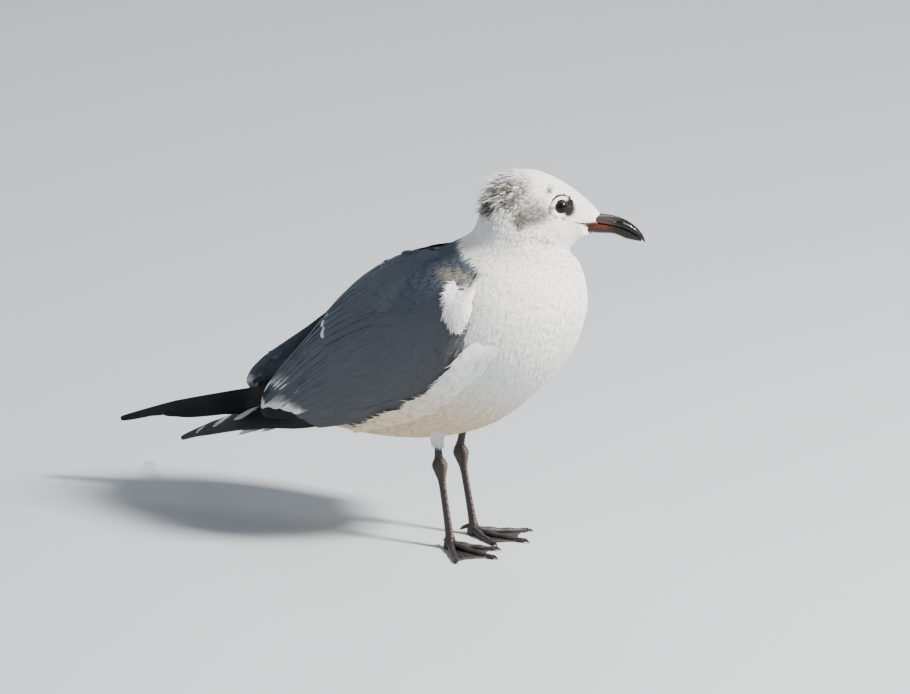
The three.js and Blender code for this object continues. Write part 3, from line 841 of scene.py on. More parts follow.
def add_core(name, surface, rows, columns, look):
    """A bundle's core: the whole loop of angles, with small discs at its ends. It is slate, and black
    in its lower rear corner, where the bases of the primaries come out."""
    s, angle = np.meshgrid(np.linspace(0, 1, rows), np.linspace(0, TAU, columns, endpoint=False), indexing="ij")
    points = surface[0](s, angle).reshape(-1, 3)
    faces = [grid_faces(rows, columns), np.arange(columns)[::-1][None], (np.arange(columns) + (rows - 1) * columns)[None]]
    if surface[1] > 0:
        faces = [f[:, ::-1] for f in faces]
    unwrap = np.stack([angle / TAU, s], -1).reshape(-1, 2)
    corner = (soft_step(0.6, 0.66, s) * soft_step(0.1, -0.1, np.cos(angle))).reshape(-1, 1)
    return add_mesh(name, points, faces, look, SLATE + (BLACK - SLATE) * corner, {"skin": unwrap})


for side in ("left", "right"):
    arm = add_core(f"wing_core_{side}", ARMS[side], 110, 56, SKIN_LOOK)
    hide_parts(f"wing_{side}")

# %% [markdown]
# ## The coat
# The body's feathers all point from the bill to the tail, so each one marches the way the stations run.
# They are two or three millimetres long at the bill and grow to more than a centimetre at the flanks.
# Each is a blunt leaf, from which loose barbs part in locks, as they do in soft plumage. Places under a
# folded wing get none, because nobody can see them there.

# %% Growing the body's feathers
def spacing_at(t, angle):
    return np.interp(t, np.linspace(0, 1, len(TABLE)), TABLE[:, 8])


def hidden_by_wings(places):
    """True where the wing's core reaches further sideways than a place on the body."""
    right = reach_at(WING_REACH["right"], places) > -places[..., 1] + 1.5
    left = reach_at(WING_REACH["left"], places) > places[..., 1] + 1.5
    return np.where(places[..., 1] < 0, right, left) & (np.abs(places[..., 1]) > 8)


LOCKS_SOFT = ((0.3, 0.3, 0.7), (0.3, -0.3, 0.7), (0.5, 0.18, 0.65), (0.5, -0.18, 0.65), (0.66, 0.0, 0.55))
LOCKS_HEAD = ((0.35, 0.28, 0.75), (0.35, -0.28, 0.75), (0.55, 0.0, 0.7))


def grow(seed, t_range, scale=1.0, stretch=3.3, slim=0.42, wander=0.1, spots=LOCKS_SOFT, rows=4, only=None, loft=1.0):
    """Feathers over a stretch of the body. Their tips reach the outline, which is the coat's depth above
    the skin, or loft times that."""
    rng = np.random.default_rng(seed)
    t, angle = scatter(SKIN_SURFACE, t_range, (-np.pi, np.pi), lambda a, b: spacing_at(a, b) * scale, seed)
    keep = (t > 0.003) & (t < 0.992)
    t, angle = t[keep], angle[keep]
    length = spacing_at(t, angle) * stretch * rng.uniform(0.85, 1.15, len(t))
    path = march(SKIN_SURFACE, t, angle, rng.normal(0, wander, len(t)), length, rows)
    hidden = hidden_by_wings(skin_place(*path)).all(1)
    straight = body_straight(*path)[0]
    on_mouth = (np.abs(straight[..., 2] - mouth_line(straight[..., 0])) < 0.6) & (straight[..., 0] > 75.3)
    clear = (eye_distance(straight[:, 1:]) > 6.6).all(1) & ~on_mouth.any(1) & (chin_recess(straight) < 0.9).all(1)
    keep = clear & ~hidden & (path[0] < 1.01).all(1)
    if only is not None:
        keep &= only(path[0][:, 0], path[1][:, 0])
    path, length = (path[0][keep], path[1][keep]), length[keep]
    count = keep.sum()
    t, angle = path[0][:, 0], path[1][:, 0]
    width = spacing_at(t, angle) * stretch * slim
    place, _ = body_straight(t, angle)
    stand = 1 + patch(place, 29, 226, 20, 19, 30) * rng.uniform(0, 1.2, count)
    depth = smooth_line(TABLE[:, 7:8], t)[..., 0]
    rise = np.linspace(0.0, 1, rows) ** 0.8
    height = (depth * loft * rng.uniform(0.93, 1.0, count))[:, None] * rise**loft
    height = height * (1 + (stand - 1)[:, None] * rise)
    seen = path[0][:, 2], path[1][:, 2]  # most of a feather that shows lies beyond its middle
    tint = markings(*seen, rng.uniform(0, 1, count)) * rng.uniform(0.96, 1.03, count)[:, None]
    root = np.stack([(angle / TAU) % 1, t], -1)
    vanes = Vanes()
    vanes.add(SKIN_SURFACE, path, width, height, blunt_leaf, SLIVER, width * 0.05, tint, root)
    paler = tint * rng.uniform(0.97, 1.05, count)[:, None]
    locks(vanes, SKIN_SURFACE, path, length, width, height, paler, root, rng, spots)
    return vanes


def is_mantle(t, angle):
    return mantle_share(body_straight(t, angle)[0]) > 0.5


def not_mantle(t, angle):
    return ~is_mantle(t, angle)


HEAD_COAT = dict(scale=0.72, stretch=3.0, slim=0.4, spots=LOCKS_HEAD, wander=0.1)
grow(11, (0, station("forehead")), **HEAD_COAT).make("coat_face", WHITE_VANES, "body_plumage")
grow(12, (station("forehead"), station("crown")), **HEAD_COAT).make("coat_crown", WHITE_VANES, "body_plumage")
grow(13, (station("crown"), station("nape")), **HEAD_COAT).make("coat_nape", WHITE_VANES, "body_plumage")


def ruffled(t, angle):
    return patch(body_straight(t, angle)[0], 31, 229, 19, 13, 35) > 0.25


RUFFLE = dict(scale=1.5, stretch=3.9, slim=0.2, spots=LOCKS_HEAD, wander=0.22, loft=2.4, only=ruffled)
grow(21, (station("eyes"), station("hind neck")), **RUFFLE).make("coat_ruffle", WHITE_VANES, "body_plumage")
grow(14, (station("nape"), station("neck base")), scale=0.68, only=not_mantle).make("coat_neck", WHITE_VANES, "body_plumage")
grow(15, (station("neck base"), station("breast")), scale=0.6, only=not_mantle).make("coat_breast", WHITE_VANES, "body_plumage")
grow(16, (station("breast"), station("belly")), scale=0.6, only=not_mantle).make("coat_keel", WHITE_VANES, "body_plumage")
grow(17, (station("belly"), 1), scale=0.68, only=not_mantle).make("coat_belly", WHITE_VANES, "white_plumage")
grow(18, (station("nape"), 1), scale=0.8, stretch=3.6, slim=0.46, only=is_mantle).make("coat_mantle", GREY_VANES, "grey_plumage")

# %% [markdown]
# ## Feathers of the wing
# A gull's folded wing shows, from front to back, small lesser coverts, a row of median and a row of
# greater coverts, then the secondaries. Over them from the back lie the scapulars, and next to the tail
# the broad tertials. The rows are laid from the rear to the front, each a little higher than the one
# behind it. Rows of feathers with one direction each could also be copies of one mesh, but here every
# feather follows the wing's surface, so none of them cuts through it.

# %% Ways over a bundle
def arm_slate(h):
    """The slate of a folded wing: bluish at its upper edge and browner towards the lower one."""
    low = np.array([0.082, 0.085, 0.092])
    return SLATE + (low - SLATE) * np.clip(h, 0, 1)[..., None]


QUILL_X = np.concatenate([np.linspace(0, 0.8, 8), np.linspace(0.85, 1, 8)])


def ways(s_from, s_to, h_from, h_to, x):
    """Ways over a bundle, one for each feather, from (s_from, h_from) to (s_to, h_to). h is the share of
    the chord below the upper edge, and becomes the angle whose cosine is 1 - 2h."""
    s = np.asarray(s_from)[:, None] + (np.asarray(s_to) - s_from)[:, None] * x
    h = np.asarray(h_from)[:, None] + (np.asarray(h_to) - h_from)[:, None] * x
    return s, np.arccos(np.clip(1 - 2 * h, -1, 1))


def quill_tint(base, x, section, white_from=2.0, edge=0.1):
    """Feathers' colours: a little paler at their edges, and white from a share of their length onwards,
    which is one number or one for each feather. The white's border bulges towards the tip."""
    across = section[:, 0]
    tint = base[:, None, None] * (0.97 + edge * across**2)[None, None, :, None]
    start = np.broadcast_to(white_from, len(base))[:, None, None]
    white = soft_step(-0.012, 0.012, x[None, :, None] - start + 0.02 * across[None, None, :] ** 2)
    return tint + (WHITE * 0.97 - tint) * white[..., None]


def row_of(vanes, side, s_from, s_to, h_from, h_to, width, levels, tint, ridge=0.07, white_from=2.0, tilt=0.06, inner=False, edge=0.1):
    """One row of quills on an arm, given by its first and last feather: (from, to) pairs of where they
    start and end, and levels as shares of the cover at their roots and tips. Tips and spacings vary a
    little. An inner row lies on the arm's side that faces the body."""
    count = len(tint)
    rng = np.random.default_rng(count + len(vanes.points))
    pick = np.linspace(0, 1, count) + rng.uniform(-0.25, 0.25, count) / count
    span = [np.interp(pick, (0, 1), ends) for ends in (s_from, s_to, h_from, h_to)]
    span[1] = np.minimum(span[1] + rng.uniform(-0.012, 0.012, count), 1.0)
    path = ways(*span, QUILL_X)
    path = (path[0], -path[1]) if inner else path
    level = levels[0] + (levels[1] - levels[0]) * QUILL_X
    height = wing_cover(WING, path[0]) * level + 0.15 * (1 - pick)[:, None]
    widths = np.interp(pick, (0, 1), width)
    root = np.stack([(path[1][:, 0] / TAU) % 1, path[0][:, 0]], -1)
    colours = quill_tint(tint, QUILL_X, LEAF, white_from, edge)
    ridges = np.full(count, ridge)
    vanes.add(ARMS[side], path, widths, height, quill, LEAF, ridges, colours, root, QUILL_X, tilt)


def strewn(vanes, side, seed, s_range, angle_range, spacing, length, slim, levels, yaw=0.0, rows=7, edge=0.08):
    """Feathers strewn evenly over part of an arm: length is (s values, lengths at them)."""
    rng = np.random.default_rng(seed)
    surface = ARMS[side]
    s, angle = scatter(surface, s_range, angle_range, lambda a, b: np.interp(a, *spacing), seed, 120)
    long = np.interp(s, *length) * rng.uniform(0.9, 1.1, len(s))
    turns = (yaw + rng.normal(0, 0.05, len(s))) * surface[1]
    path = march(surface, s, angle, turns, long, rows)
    places = surface[0](*path)
    inside = reach_at(BODY_REACH[side], places) > -surface[1] * places[..., 1] + 3
    keep = ~inside.all(1) & (path[0] < 0.99).all(1)
    path, long = (path[0][keep], path[1][keep]), long[keep]
    x = np.linspace(0, 1, rows)
    height = wing_cover(WING, path[0]) * (levels[0] + (levels[1] - levels[0]) * x)
    tint = arm_slate((1 - np.cos(path[1][:, 0])) / 2) * rng.uniform(0.95, 1.05, keep.sum())[:, None]
    root = np.stack([(path[1][:, 0] / TAU) % 1, path[0][:, 0]], -1)
    colours = quill_tint(tint, x, LEAF, edge=edge)
    vanes.add(surface, path, long * slim, height, blunt_leaf, LEAF, np.full(len(long), 0.06), colours, root, x)


# %% Dressing both arms
def greys(count, rng, first_h, last_h):
    """The slate of a row's feathers, each a little lighter or darker than its neighbours."""
    shade = arm_slate(np.linspace(first_h, last_h, count))
    return shade * rng.uniform(0.95, 1.05, count)[:, None]


def dress_arm(side, seed):
    """All rows of one arm, from the black bases of the primaries under it to the scapulars."""
    rng = np.random.default_rng(seed)
    vanes = Vanes()
    black = np.tile(BLACK, (5, 1))
    row_of(vanes, side, (0.5, 0.5), (1.0, 0.97), (0.62, 0.95), (0.5, 0.93), (10, 8), (0.0, 0.1), black)
    white_tips = np.where(np.arange(15) < 10, 0.82, 2.0)
    row_of(vanes, side, (0.46, 0.45), (0.965, 0.69), (0.42, 0.93), (0.62, 0.97), (16.5, 12), (0.25, 0.45), greys(15, rng, 0.42, 0.95), white_from=white_tips)
    white_tips = np.where(np.arange(6) < 4, 0.97, 0.94)
    row_of(vanes, side, (0.42, 0.45), (1.0, 0.97), (0.06, 0.44), (0.2, 0.6), (17, 14), (0.3, 0.6), greys(6, rng, 0.1, 0.44), white_from=white_tips)
    lower = (0.38 * np.pi, 0.95 * np.pi)
    strewn(vanes, side, seed + 3, (0.29, 0.47), lower, ((0.29, 0.47), (5.6, 6.0)), ((0.29, 0.47), (32, 36)), 0.34, (0.5, 0.62))
    strewn(vanes, side, seed + 4, (0.17, 0.33), lower, ((0.17, 0.33), (4.6, 5.4)), ((0.17, 0.33), (20, 28)), 0.4, (0.6, 0.74))
    strewn(vanes, side, seed + 1, (0.05, 0.25), (0.3 * np.pi, np.pi), ((0, 0.25), (3.2, 4.5)), ((0, 0.25), (9, 16)), 0.52, (0.6, 0.86))
    strewn(vanes, side, seed + 2, (0.1, 0.5), (0.0, 0.4 * np.pi), ((0, 0.5), (3.6, 7)), ((0, 0.5), (12, 30)), 0.44, (0.66, 0.98), 0.08)
    spots = np.array([2.0, 2.0, 2.0, 0.955, 2.0, 0.95, 2.0])
    row_of(vanes, side, (0.42, 0.38), (0.665, 0.61), (0.04, 0.4), (0.06, 0.42), (16, 13), (0.5, 1.05), greys(7, rng, 0, 0.4), white_from=spots)
    for s_from, s_to, h_to, wide, low, high in ((0.55, 1.0, 0.75, 12, 0.1, 0.5), (0.45, 0.8, 0.6, 12, 0.4, 0.8), (0.3, 0.62, 0.5, 12, 0.6, 1.0)):
        row_of(vanes, side, (s_from, s_from), (s_to, s_to - 0.02), (0.02, h_to), (0.04, h_to), (wide, wide), (low, high),
               greys(7, rng, 0, 0.3), white_from=0.92 if s_to == 1.0 else 2.0, inner=True, edge=0.6)
    inside = (-0.62 * np.pi, 0.0)
    strewn(vanes, side, seed + 5, (0.3, 0.93), inside, ((0.3, 0.93), (5.5, 6)), ((0.3, 0.93), (24, 20)), 0.4, (0.3, 0.9), edge=0.7)
    strewn(vanes, side, seed + 6, (0.06, 0.34), inside, ((0, 0.34), (3.6, 5.5)), ((0, 0.34), (12, 24)), 0.42, (0.25, 0.6))
    return vanes


for side, seed in (("right", 31), ("left", 41)):
    dress_arm(side, seed).make(f"wing_feathers_{side}", GREY_VANES, "grey_plumage")

# %% [markdown]
# ## Primaries
# The ten long flight feathers of the hand fold like a fan, and only their ends come out behind the arm.
# The outermost is the longest and forms the blade's one edge, and the tips of the others step back along
# the other edge. The inner ones end in white. On the right wing these tips show as slanting spots, and
# the left wing's lie on the far side of its blade.

# %% The blades
PRIMARY_X = np.concatenate([np.linspace(0, 0.76, 10), np.linspace(0.79, 1, 22)])
FLAT_ACROSS = np.array([-1, -0.75, -0.5, -0.25, -0.06, 0, 0.06, 0.25, 0.5, 0.75, 1, 0])
FLAT_RISE = np.array([0, 0.4, 0.6, 0.75, 0.8, 1.25, 0.8, 0.75, 0.6, 0.4, 0, -0.4])
FLAT_LEAF = np.stack([FLAT_ACROSS, FLAT_RISE], -1)
# For each blade: where each feather ends, where it lies in the chord at root and tip, its width, the share
# of its length where its white spot lies, half the spot's length, and the feather's level in millimetres.
BLADES = {
    "right": (
        (1.025, 0.82, 0.50, 11.0, 2.0, 0.0, 0.0),
        (0.90, 0.66, 0.42, 11.0, 0.925, 0.028, 0.35),
        (0.73, 0.48, 0.36, 11.5, 0.888, 0.040, 0.7),
        (0.60, 0.34, 0.36, 12.0, 0.858, 0.065, 1.05),
        (0.50, 0.22, 0.20, 11.0, 2.0, 0.0, 1.2),
        (0.40, 0.14, 0.12, 10.0, 2.0, 0.0, 1.35),
    ),
    "left": (
        (1.025, 0.22, 0.50, 13.0, 2.0, 0.0, 0.0),
        (0.90, 0.36, 0.66, 13.0, 2.0, 0.0, -0.3),
        (0.80, 0.55, 0.92, 12.5, 2.0, 0.0, -0.6),
        (0.745, 0.70, 1.00, 12.0, 2.0, 0.0, -0.9),
        (0.60, 0.84, 1.03, 12.0, 2.0, 0.0, -1.2),
        (0.50, 0.92, 1.00, 11.0, 2.0, 0.0, -1.4),
    ),
}


def spotted(base, x, across, spot, size, slant=0.042):
    """Black with a white spot that slants across the feather and narrows towards both edges."""
    away = np.abs(x[:, None] - spot - slant * across[None, :]) / (size * (1.02 - 0.5 * across[None, :] ** 2) + 1e-6)
    white = soft_step(1.0, 0.7, away)
    return (base + (WHITE - base) * white[..., None])[None]


def dress_blade(side):
    """One blade, feather by feather. Its levels shrink towards the tip, where the blade is thinner."""
    vanes = Vanes()
    for end, h_root, h_tip, width, spot, size, level in BLADES[side]:
        s = end * PRIMARY_X[None]
        h = h_root + (h_tip - h_root) * PRIMARY_X[None] ** 1.5
        surface = TIP_SHEETS[side]
        height = level * np.interp(s, (0, 1), (1, 0.25))
        tint = spotted(BLACK, PRIMARY_X, FLAT_ACROSS, spot, size)
        root = np.array([[h_root, 0.0]])
        vanes.add(surface, (s, h), np.array([width]), height, primary, FLAT_LEAF, np.array([0.5]), tint, root, PRIMARY_X)
    return vanes


for side in BLADES:
    blade = dress_blade(side).make(f"primaries_blade_{side}", BLACK_VANES, "black_plumage")
    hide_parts(f"primaries_{side}")

# %% [markdown]
# ## The tail
# Twelve white feathers form the tail, almost hidden under the folded wings. They make a shallow roof that
# droops to the sides, so the surface below them is a plane with a parabola across it.

# %% A surface for the tail
def tail_place(t, across):
    """From root (0) to tip (1) and from side to side (-1 to 1): the half width grows evenly from 11 to
    19 mm, the outer feathers end a little sooner and hang lower by the square of across."""
    half = 11 + 8 * t
    share = t * (1 - 5 * across**2 / 63)
    return np.stack([-106 - 57 * share, half * across, 62.4 - 18.6 * share - 1.6 * t * across**2], -1)


TAIL_SURFACE = (tail_place, -1.0)


def add_tail():
    vanes = Vanes()
    order = np.array([-1, 1, -0.82, 0.82, -0.64, 0.64, -0.46, 0.46, -0.28, 0.28, -0.09, 0.09])
    path = (np.broadcast_to(QUILL_X, (12, len(QUILL_X))), order[:, None] * (0.55 + 0.35 * QUILL_X))
    height = (0.3 + 0.1 * np.arange(12))[:, None] * np.ones(len(QUILL_X))
    root = np.stack([order * 0.1 + 0.5, np.full(12, 0.98)], -1)
    tint = quill_tint(np.tile(WHITE, (12, 1)), QUILL_X, LEAF)
    vanes.add(TAIL_SURFACE, path, np.full(12, 9.5), height, quill, LEAF, np.full(12, 0.4), tint, root, QUILL_X)
    rng = np.random.default_rng(51)
    for level, sign in ((1.6, 1), (-1.2, -1)):
        t, across = scatter(TAIL_SURFACE, (0, 0.5), (-1, 1), lambda a, b: 3.2 + 0 * a, 51)
        path = march(TAIL_SURFACE, t, across, rng.normal(0, 0.08, len(t)), np.full(len(t), 15.0), 5)
        height = sign * np.linspace(0.2, abs(level), 5) * rng.uniform(0.8, 1.2, (len(t), 1))
        tint = np.tile(WHITE * (1 if sign > 0 else 0.96), (len(t), 1))
        root = np.stack([across * 0.1 + 0.5, t * 0.01 + 0.98], -1)
        vanes.add(TAIL_SURFACE, path, np.full(len(t), 6.0), height, blunt_leaf, LEAF, np.full(len(t), 0.3), tint, root)
    return vanes


tail = add_tail().make("tail_feathers", WHITE_VANES, "white_plumage")
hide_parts("tail")

# %% [markdown]
# ## Tufts over the wing
# Where the wing is folded against the breast, soft white plumage laps over its bend and its lower edge.
# These tufts start at the wing's edge, run back over it and end in loose barbs.

# %% Sheets over the wing's edges
def skin_side(side, t, angle, out=0.0):
    """A place on the body's side, out above the coat's outline, with the head's turn."""
    sign = SIGN[side]
    straight, row = body_straight(t, sign * angle, out)
    return twisted(straight, row[..., 6])


def arm_side(side, s, angle, out):
    """A place out above an arm's core."""
    place, outward = ARMS[side]
    spot, _, _, normal, _, _ = surface_frame(place, s, angle, outward)
    return spot + normal * out


def sheet(side, first, middle, last):
    """A sheet from the first line over a (w = -1) to the last (w = 1): straight between them, and raised
    by 1 - w squared times the middle line's distance from their mean, at right angles to that."""

    def place(a, w):
        a, w = np.broadcast_arrays(np.asarray(a, float), np.asarray(w, float))
        start, mid, end = first(a), middle(a), last(a)
        half = (end - start) / 2
        rise = mid - (start + end) / 2
        rise = rise - half * ((rise * half).sum(-1) / (half * half).sum(-1))[..., None]
        return (start + end) / 2 + w[..., None] * half + (1 - w[..., None] ** 2) * rise

    return place, SIGN[side]


def curve(values):
    """The parabola through three values at 0, a half and 1. Beyond them it runs on."""
    first, middle, last = values
    return lambda a: first + a * (4 * middle - 3 * first - last) + a * a * (2 * first + 2 * last - 4 * middle)


def bend_sheet(side):
    """From the breast over the wing's front edge onto its face: a grows downwards, and w tailwards."""
    return sheet(
        side,
        lambda a: skin_side(side, curve((0.50, 0.545, 0.60))(a), curve((1.2, 1.5, 1.9))(a), 1.2),
        lambda a: arm_side(side, 0.06 + 0 * a, curve((0.5, 1.4, 2.4))(a), 4.7),
        lambda a: arm_side(side, curve((0.21, 0.19, 0.15))(a), curve((0.6, 1.4, 2.3))(a), 3.7),
    )


def flank_sheet(side):
    """From the flank over the wing's lower edge onto its face: a is the wing's share from bend to tip,
    and w grows upwards."""
    beside = ((0.0, 0.105, 0.172, 0.32, 0.395, 0.55, 0.8), (0.57, 0.632, 0.668, 0.75, 0.798, 0.89, 0.99))
    return sheet(
        side,
        lambda a: skin_side(side, np.interp(a, *beside), 2.28 + 0 * a, 0.3),
        lambda a: arm_side(side, a, 2.95 + 0 * a, 3.0),
        lambda a: arm_side(side, a, 2.4 + 0 * a, 2.6),
    )


# %% Tufts at the bend and along the flank
def tuft(vanes, surface, seed, a, w, yaw, length, lift, root, colour=WHITE):
    """Soft white vanes over a sheet: from their roots they rise by lift towards their tips."""
    rng = np.random.default_rng(seed)
    path = march(surface, a, w, yaw * surface[1], length, 5)
    steps = np.linalg.norm(np.diff(surface[0](*path), axis=1), axis=-1)
    keep = (steps < length[:, None] * 0.4).all(1) & (np.abs(path[1]) < 1.25).all(1)
    path, length, lift, root = (path[0][keep], path[1][keep]), length[keep], lift[keep], root[keep]
    colour = np.broadcast_to(colour, (len(keep), 3))[keep]
    height = 0.15 + lift[:, None] * np.linspace(0, 1, 5) ** 1.3
    tint = colour * rng.uniform(0.96, 1.03, len(length))[:, None]
    width = length * 0.36
    vanes.add(surface, path, width, height, blunt_leaf, SLIVER, width * 0.08, tint, root)
    locks(vanes, surface, path, length, width, height, tint, root, rng, LOCKS_SOFT)


def add_tufts(side, seed):
    """The tuft beside the breast hangs back and down over the bend. Along the wing's lower edge the
    flank's feathers lap over it by a few millimetres, and point to the tail."""
    rng = np.random.default_rng(seed)
    vanes = Vanes()
    sign = SIGN[side]
    n = 420
    a = rng.uniform(-0.3, 0.7, n)
    w = rng.uniform(-1.0, 0.25, n) * np.interp(a, (-0.3, 0.3, 0.7), (0.8, 1, 0.7))
    yaw = np.interp(a, (-0.2, 0.3, 0.7), (1.0, 0.8, 0.5)) + rng.normal(0, 0.1, n)
    root = np.stack([(sign * (1.2 + 0.8 * a) / TAU) % 1, 0.5 + 0.1 * a], -1)
    tuft(vanes, bend_sheet(side), seed, a, w, yaw, rng.uniform(8, 13, n), rng.uniform(0.1, 1.3, n), root)
    n = 440
    a, w = rng.uniform(0.09, 0.5, n), rng.uniform(-1.0, 0.05, n)
    yaw = rng.normal(0.08, 0.07, n)
    root = np.stack([(sign * (2.16 - 0.22 * w) / TAU) % 1, 0.58 + 0.54 * a], -1)
    tuft(vanes, flank_sheet(side), seed + 1, a, w, yaw, rng.uniform(10, 15, n), rng.uniform(0.0, 0.8, n), root, markings(root[:, 1], root[:, 0] * TAU))
    return vanes


for side, seed in (("right", 61), ("left", 71)):
    add_tufts(side, seed).make(f"tufts_{side}", WHITE_VANES, "white_plumage")

# %% [markdown]
# ## The eyes
# A gull's eye is a ball of about 9 mm, of which the lids show 7 mm. The ball carries a dark brown iris
# round a black pupil and has a clear, wet front, for which the shader's coat layer stands. Each eye is
# modelled from its own axis outwards, because pupil, iris, lids and the white ring all lie round it.

# %% An eye's own axes
EYE_RADIUS = 4.3


def eye_axes(side):
    """The middle of an eye, the way it looks, and the two directions across: forwards and up."""
    sign = SIGN[side]
    middle = EYE_PLACE * (1, sign, 1)
    out = np.array([0.18, sign, 0.04])
    out /= np.linalg.norm(out)
    up = np.array([0, 0, 1.0]) - out * out[2]
    up /= np.linalg.norm(up)
    return middle, out, np.cross(up, out) * sign, up


def round_eye(side, reach, turn, radius):
    """A place on a ball round the eye's middle: reach is the angle from the way it looks, turn goes from
    forwards (0) over the top (a quarter turn) round it. Radius times the directions' sum."""
    middle, out, ahead, up = eye_axes(side)
    reach, turn, radius = np.broadcast_arrays(reach, turn, radius)
    across = ahead * np.cos(turn)[..., None] + up * np.sin(turn)[..., None]
    return twisted(middle + radius[..., None] * (out * np.cos(reach)[..., None] + across * np.sin(reach)[..., None]), 1.0)


def tinted_material(name, **values):
    """A material whose colour is the tint attribute with a fine grain over it."""
    material, tree, shader = new_material(name, **values)
    tint = tree.nodes.new("ShaderNodeAttribute")
    tint.attribute_name = "tint"
    grain = mix_colour(tree, math_node(tree, "MULTIPLY", noise(tree, 1500, 3), 0.5), tint.outputs["Color"], (0.5, 0.5, 0.5), "MULTIPLY")
    tree.links.new(grain, shader.inputs["Base Color"])
    return material, tree, shader


EYE_LOOK, _, _ = tinted_material("eye", Roughness=0.3, Specular_IOR_Level=0.05, Coat_Weight=0.7, Coat_Roughness=0.02, Coat_IOR=1.33)
LID_LOOK, lid_tree, lid_shader = tinted_material("eyelid", Roughness=0.55)
bump(lid_tree, lid_shader, noise(lid_tree, 2500, 3), 0.5, 0.0002)


def add_eyeball(side):
    """A ball from its front pole to its back pole, with the iris and the pupil as rings of colour."""
    reach, turn = np.meshgrid(np.linspace(0.01, np.pi - 0.01, 90), np.linspace(0, TAU, 96, endpoint=False), indexing="ij")
    bulge = 0.12 * np.exp(-((reach / 0.55) ** 2))
    points = round_eye(side, reach, turn, EYE_RADIUS + bulge).reshape(-1, 3)
    iris = soft_step(0.40, 0.46, reach) * soft_step(0.98, 0.9, reach)
    rays = 0.8 + 0.2 * np.sin(turn * 31 + 3 * np.sin(turn * 7))
    tint = 0.0012 + (iris * rays)[..., None] * np.array([0.010, 0.003, 0.002])
    faces = [grid_faces(90, 96), np.arange(96)[::-1][None], (np.arange(96) + 89 * 96)[None]]
    if side == "left":
        faces = [f[:, ::-1] for f in faces]
    piece = add_mesh(f"eyeball_{side}", points, faces, EYE_LOOK, tint.reshape(-1, 3))
    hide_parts(f"eye_{side}")


def ring_round_eye(side, name, radius, reach, thick_across, thick_out, turns, tint, look):
    """A soft ring round the eye: at each turn a small ellipse, thick_across by thick_out, whose middle
    stands at reach(turn) from the eye's axis. It tapers to nothing at both ends of turns."""
    share, phase = np.meshgrid(np.linspace(0, 1, 120), np.linspace(0, TAU, 20, endpoint=False), indexing="ij")
    turn = turns[0] + (turns[1] - turns[0]) * share
    taper = np.ones_like(share)
    if abs(turns[1] - turns[0]) < TAU - 0.01:
        taper = np.clip(np.sin(np.pi * share), 0.02, 1) ** 0.5
    at = reach(turn) + thick_across * taper * np.cos(phase) / radius
    out = radius + thick_out * taper * np.sin(phase)
    points = round_eye(side, at, turn, out).reshape(-1, 3)
    faces = [grid_faces(120, 20), np.arange(20)[::-1][None], (np.arange(20) + 119 * 20)[None]]
    if (side == "left") == (turns[1] < turns[0]):
        faces = [f[:, ::-1] for f in faces]
    piece = add_mesh(f"{name}_{side}", points, faces, look, np.broadcast_to(tint, (len(points), 3)))
    return piece


def lid_reach(turn):
    """The lids' edge: an opening a little longer than high, drawn to a corner ahead and behind."""
    return 0.87 + 0.07 * np.cos(2 * turn)


def skin_at(sign, x, z):
    """The body's t and angle at which side view shows the place (x, z), found by a few steps of Newton's
    method: the miss, divided by the 2 by 2 table of how the view's place moves with t and angle."""
    goal = np.stack([x, z], -1)
    t, angle = np.interp(x, (60, 78, 88), (0.18, 0.07, 0.01)), np.full(x.shape, sign * 1.3)
    for _ in range(7):
        here = body_straight(t, angle)[0][..., ::2]
        by_t = (body_straight(t + 1e-4, angle)[0][..., ::2] - here) / 1e-4
        by_angle = (body_straight(t, angle + 1e-4)[0][..., ::2] - here) / 1e-4
        miss = goal - here
        area = by_t[..., 0] * by_angle[..., 1] - by_t[..., 1] * by_angle[..., 0]
        t = t + np.clip((miss[..., 0] * by_angle[..., 1] - miss[..., 1] * by_angle[..., 0]) / area, -0.05, 0.05)
        angle = angle + np.clip((by_t[..., 0] * miss[..., 1] - by_t[..., 1] * miss[..., 0]) / area, -0.3, 0.3)
    return t, angle


def ring_surface(side):
    """The skin round an eye in polar measure: turn runs from ahead (0) over the top, and radius is the
    distance from the eye's middle in side view."""
    sign = SIGN[side]

    def place(turn, radius):
        t, angle = skin_at(sign, EYE_PLACE[0] + radius * np.cos(turn), EYE_PLACE[2] + radius * np.sin(turn))
        depth = smooth_line(TABLE[:, 7:8], t)[..., 0]
        straight, row = body_straight(t, angle, eye_fold(t, angle) - depth)
        return twisted(straight, row[..., 6])

    return place


